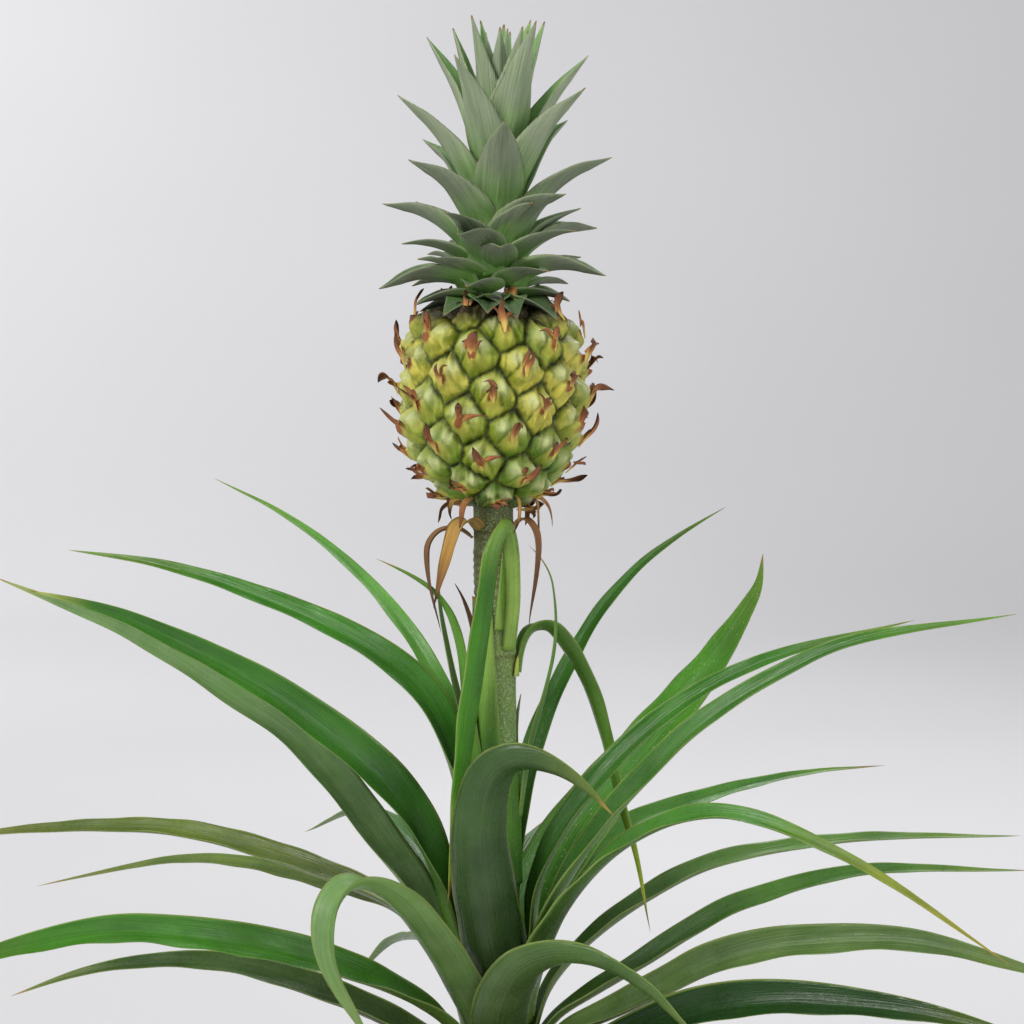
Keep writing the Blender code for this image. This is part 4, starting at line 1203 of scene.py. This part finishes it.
POT_FINISH = pot_finish()
pot_low, pot_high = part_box("pot")
pot_points = np.array([v.co[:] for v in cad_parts["pot"].data.vertices])
pot_far = np.hypot(pot_points[:, 0], pot_points[:, 1])
foot_radius = pot_far[pot_points[:, 2] < pot_low.z + 0.3 * MM].max()
rim_radius = pot_far.max()
pot_height = pot_high.z - pot_low.z
WALL, FLOOR, BAND, BAND_OUT = 1.8 * MM, 2.5 * MM, 12 * MM, 2.2 * MM
HOLES, HOLE_RADIUS, HOLE_CIRCLE = 8, 4.2 * MM, 0.74 * foot_radius
wall_top = rim_radius - BAND_OUT


def wall_radius(z):
    return foot_radius + (wall_top - foot_radius) * (z - pot_low.z) / pot_height


outline = [(0.0005, 0), (foot_radius - 1.2 * MM, 0), (foot_radius - 0.3 * MM, 0.3 * MM), (foot_radius, 1.2 * MM)]
for step in np.linspace(0.02, 0.86, 22):
    z = step * pot_height
    outline.append((wall_radius(z) + 0.12 * MM * math.sin(step * 90), z))
z_band = pot_height - BAND
rim_inside = rim_radius - BAND_OUT - WALL
outline += [
    (wall_radius(z_band) - 0.1 * MM, z_band - 0.4 * MM),
    (rim_radius - 0.8 * MM, z_band),
    (rim_radius - 0.1 * MM, z_band + 0.7 * MM),
    (rim_radius, z_band + 2 * MM),
    (rim_radius, pot_height - 2 * MM),
    (rim_radius - 0.3 * MM, pot_height - 0.6 * MM),
    (rim_radius - 1.0 * MM, pot_height),
    (rim_inside + 0.9 * MM, pot_height),
    (rim_inside + 0.2 * MM, pot_height - 0.5 * MM),
]
for step in np.linspace(0.95, 0.05, 12):
    outline.append((wall_radius(step * pot_height) - WALL, step * pot_height))
outline += [(wall_radius(FLOOR) - WALL - 1.5 * MM, FLOOR), (0.0005, FLOOR)]
outline = np.array(outline)
sides = 160
turn = np.linspace(0, 2 * np.pi, sides, endpoint=False)
radii, heights = outline[:, :1], outline[:, 1:] + pot_low.z + 0 * turn
points = np.stack([radii * np.cos(turn), radii * np.sin(turn), heights], axis=-1).reshape(-1, 3)
pot = put("pot_shell", points, tube_faces(len(outline), sides), POT_FINISH, {})
holes = bmesh.new()
for k in range(HOLES):
    angle = 2 * math.pi * k / HOLES
    place = Vector((HOLE_CIRCLE * math.cos(angle), HOLE_CIRCLE * math.sin(angle), pot_low.z))
    bmesh.ops.create_cone(
        holes,
        cap_ends=True,
        segments=40,
        radius1=HOLE_RADIUS,
        radius2=HOLE_RADIUS,
        depth=20 * MM,
        matrix=Matrix.Translation(place),
    )
drill_mesh = bpy.data.meshes.new("drain_drill")
holes.to_mesh(drill_mesh)
holes.free()
drill = bpy.data.objects.new("drain_drill", drill_mesh)
bpy.context.scene.collection.objects.link(drill)
cut = pot.modifiers.new("drain_holes", "BOOLEAN")
cut.operation, cut.solver, cut.object = "DIFFERENCE", "EXACT", drill
bpy.context.view_layer.update()
graph = bpy.context.evaluated_depsgraph_get()
cut_mesh = bpy.data.meshes.new_from_object(pot.evaluated_get(graph))
pot.modifiers.clear()
pot.data = cut_mesh
bpy.data.objects.remove(drill)
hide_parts("pot")
print("pot faces:", len(pot.data.polygons))


# %% Soil
def soil_finish():
    material, tree, shader = new_material("potting_soil")
    spots, place = spots_on(tree, 6 * MM)
    crumbs = add(tree, "ShaderNodeTexVoronoi", {"Vector": place, "Scale": 420.0}).outputs["Color"]
    crumb = add(tree, "ShaderNodeSeparateColor", {0: crumbs}).outputs[0]
    peat = mixed(tree, spots["Tone"], paint(42, 30, 22), paint(84, 62, 44))
    crumbly = mixed(tree, stretched(tree, crumb, 0.8, 1.0, 0.0, 0.6), peat, paint(120, 92, 62))
    feed(tree, shader, crumbly, stretched(tree, spots["Grain"], 0, 1, 0.75, 0.98))
    emboss(tree, shader, sums(tree, "ADD", spots["Grain"], crumb), 0.9, 1 * MM)
    return material


SOIL_FINISH = soil_finish()
chance = np.random.default_rng(8)
SOIL_DEPTH, SOIL_GAP = 30 * MM, 0.4 * MM
SOIL_RINGS, SOIL_SIDES, WAVES = 60, 180, 24
soil_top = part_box("potting_mix")[1].z
soil_radius = wall_radius(soil_top - pot_low.z) - WALL - SOIL_GAP
soil_foot_share = (wall_radius(soil_top - SOIL_DEPTH - pot_low.z) - WALL - SOIL_GAP) / soil_radius
reach = np.linspace(0.0005, soil_radius, SOIL_RINGS)
turn = np.linspace(0, 2 * np.pi, SOIL_SIDES, endpoint=False)
r, t = np.meshgrid(reach, turn, indexing="ij")
x, y = r * np.cos(t), r * np.sin(t)
x_pace, y_pace = chance.normal(0, 260, WAVES), chance.normal(0, 260, WAVES)
phase, size = chance.uniform(0, 6, WAVES), chance.uniform(0.1, 0.45, WAVES)
bumps = sum(np.sin(x * x_pace[k] + y * y_pace[k] + phase[k]) * size[k] for k in range(WAVES))
z = soil_top - 0.6 * MM + bumps * 0.45 * MM
points = np.stack([x, y, z], axis=-1).reshape(-1, 3)
skirt_height = 0 * x[-1] + soil_top - SOIL_DEPTH
skirt = np.stack([x[-1] * soil_foot_share, y[-1] * soil_foot_share, skirt_height], axis=-1)
points = np.concatenate([points, skirt])
faces = tube_faces(SOIL_RINGS + 1, SOIL_SIDES, flipped=True)
soil = put("soil_surface", points, faces, SOIL_FINISH, {})
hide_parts("potting_mix")


# %% Loose crumbs
def stone_finish(name, dark, light):
    material, tree, shader = new_material(name)
    spots, _ = spots_on(tree, 4 * MM)
    feed(tree, shader, mixed(tree, spots["Tone"], dark, light), stretched(tree, spots["Grain"], 0, 1, 0.7, 0.95))
    emboss(tree, shader, spots["Grain"], 0.7, 0.5 * MM)
    return material


def scattered(name, count, sizes, flat, material, seed):
    """Loose lumps on the soil, each a roughened ball squashed into its own shape."""
    chance = np.random.default_rng(seed)
    bpy.ops.mesh.primitive_ico_sphere_add(subdivisions=2, radius=1)
    ball = bpy.context.object
    shape = np.array([v.co[:] for v in ball.data.vertices])
    triangles = np.array([p.vertices[:] for p in ball.data.polygons])
    bpy.data.objects.remove(ball)
    points, faces = [], []
    for _ in range(count):
        r, t = soil_radius * 0.97 * math.sqrt(chance.uniform(0.09, 1)), chance.uniform(0, 6.283)
        rough = 1 + 0.22 * chance.normal(0, 1, (len(shape), 1))
        size = chance.uniform(*sizes)
        lump = shape * rough * size * MM * np.array([1, chance.uniform(0.5, 1), flat])
        turn = chance.uniform(0, 6.283)
        spin = np.array([[math.cos(turn), -math.sin(turn), 0], [math.sin(turn), math.cos(turn), 0], [0, 0, 1]])
        lean = chance.uniform(-0.5, 0.5)
        tip = np.array([[1, 0, 0], [0, math.cos(lean), -math.sin(lean)], [0, math.sin(lean), math.cos(lean)]])
        faces.append(triangles + len(shape) * len(points))
        spot = np.array([r * math.cos(t), r * math.sin(t), soil_top + chance.uniform(-0.6, 0.5) * MM])
        points.append(lump @ tip.T @ spin.T + spot)
    made = put(name, np.concatenate(points), np.concatenate(faces), material, {}, smooth=False)


BARK_FINISH = stone_finish("bark_chip", paint(66, 44, 30), paint(126, 88, 58))
PUMICE_FINISH = stone_finish("pumice_grain", paint(196, 190, 176), paint(232, 228, 216))
scattered("soil_bark_chips", 240, (1.2, 3.2), 0.4, BARK_FINISH, 31)
scattered("soil_peat_crumbs", 420, (0.7, 1.8), 0.8, SOIL_FINISH, 32)
scattered("soil_pumice_grains", 60, (0.8, 1.7), 0.8, PUMICE_FINISH, 33)
print("soil radius", round(soil_radius, 4))

# %% [markdown]
# ## Studio
#
# A pale floor that curves up into a wall gives a calm background without a horizon line.
# One large soft lamp stands at the upper left, a weaker one fills the right, a third from behind
# draws the leaf edges, and a fourth lights the wall. Lamps are hidden from the camera, so that
# only their light shows.


# %% Stage and lamps
def stage_finish():
    material, tree, shader = new_material("studio_paper")
    spots, _ = spots_on(tree, 1.6)
    paper = mixed(tree, spots["Tone"], (0.70, 0.70, 0.715, 1), (0.76, 0.76, 0.77, 1))
    tree.links.new(paper, shader.inputs["Base Color"])
    shader.inputs["Roughness"].default_value = 0.9
    shader.inputs["Specular IOR Level"].default_value = 0.1
    return material


FLOOR_FRONT, CURVE_START, CURVE_RADIUS, WALL_TOP, HALF_WIDTH = -4.0, 2.8, 1.4, 4.5, 4.5
bend = np.linspace(0, math.pi / 2, 24)
curve = [(CURVE_START + CURVE_RADIUS * math.sin(a), CURVE_RADIUS - CURVE_RADIUS * math.cos(a)) for a in bend]
depth = [(FLOOR_FRONT, 0.0), *curve, (CURVE_START + CURVE_RADIUS, WALL_TOP)]
corners = [(x, y, z) for y, z in depth for x in (-HALF_WIDTH, HALF_WIDTH)]
mesh = bpy.data.meshes.new("studio_sweep")
mesh.from_pydata(corners, [], [(2 * i, 2 * i + 1, 2 * i + 3, 2 * i + 2) for i in range(len(depth) - 1)])
mesh.polygons.foreach_set("use_smooth", [True] * len(mesh.polygons))
mesh.materials.append(stage_finish())
sweep = bpy.data.objects.new("studio_sweep", mesh)
bpy.context.scene.collection.objects.link(sweep)
sweep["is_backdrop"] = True


def lamp(name, place, aim, size, power, colour=(1, 1, 1)):
    """A round lamp that shines from place to aim. size is in metres and power in watts."""
    light = bpy.data.lights.new(name, "AREA")
    light.shape, light.size, light.energy, light.color = "DISK", size, power, colour
    made = bpy.data.objects.new(name, light)
    made.location = place
    made.rotation_euler = (Vector(aim) - Vector(place)).to_track_quat("-Z", "Y").to_euler()
    made.visible_camera = False
    bpy.context.scene.collection.objects.link(made)
    return made


plant_middle = (CAD_BOX[0] + CAD_BOX[1]) / 2
lamp("key_lamp", (-1.3, -1.4, 1.9), plant_middle, 1.2, 40, (1.0, 0.985, 0.95))
lamp("fill_lamp", (1.9, -1.2, 0.9), plant_middle, 1.4, 11)
lamp("edge_lamp", (0.5, 1.3, 1.7), plant_middle, 1.0, 12)
lamp("wall_lamp", (-1.5, 2.1, 2.1), (-0.6, 4.2, 0.75), 1.4, 33)
world = bpy.data.worlds.new("studio_air")
world.use_nodes = True
air = world.node_tree.nodes["Background"].inputs
air["Color"].default_value = (0.98, 0.98, 1.0, 1)
air["Strength"].default_value = 0.45
bpy.context.scene.world = world
bpy.context.scene.view_settings.view_transform = "Standard"

# %% [markdown]
# ## Camera
#
# The camera looks straight at the front of the plant from slightly above, with a long lens, so
# that the leaves keep their true proportions. It shows the fruit, the crown and the leaves.

# %% Camera
SENSOR_WIDTH, LENS, DISTANCE, TILT = 36, 114.3, 1.3, math.radians(4)
camera_data = bpy.data.cameras.new("camera")
camera_data.sensor_width = SENSOR_WIDTH
camera_data.lens = LENS
camera = bpy.data.objects.new("camera", camera_data)
bpy.context.scene.collection.objects.link(camera)
aim = Vector((0.0048, 0, 0.348))
camera.location = aim + Vector((0, -math.cos(TILT), math.sin(TILT))) * DISTANCE
camera.rotation_euler = (aim - camera.location).to_track_quat("-Z", "Y").to_euler()
bpy.context.scene.camera = camera

# %% Sizes and finish
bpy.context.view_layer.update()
for name, box in (("frame", CAD_BOX), ("plant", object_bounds())):
    print(name, "size in mm:", [round((b - a) * 1000, 1) for a, b in zip(*box)])
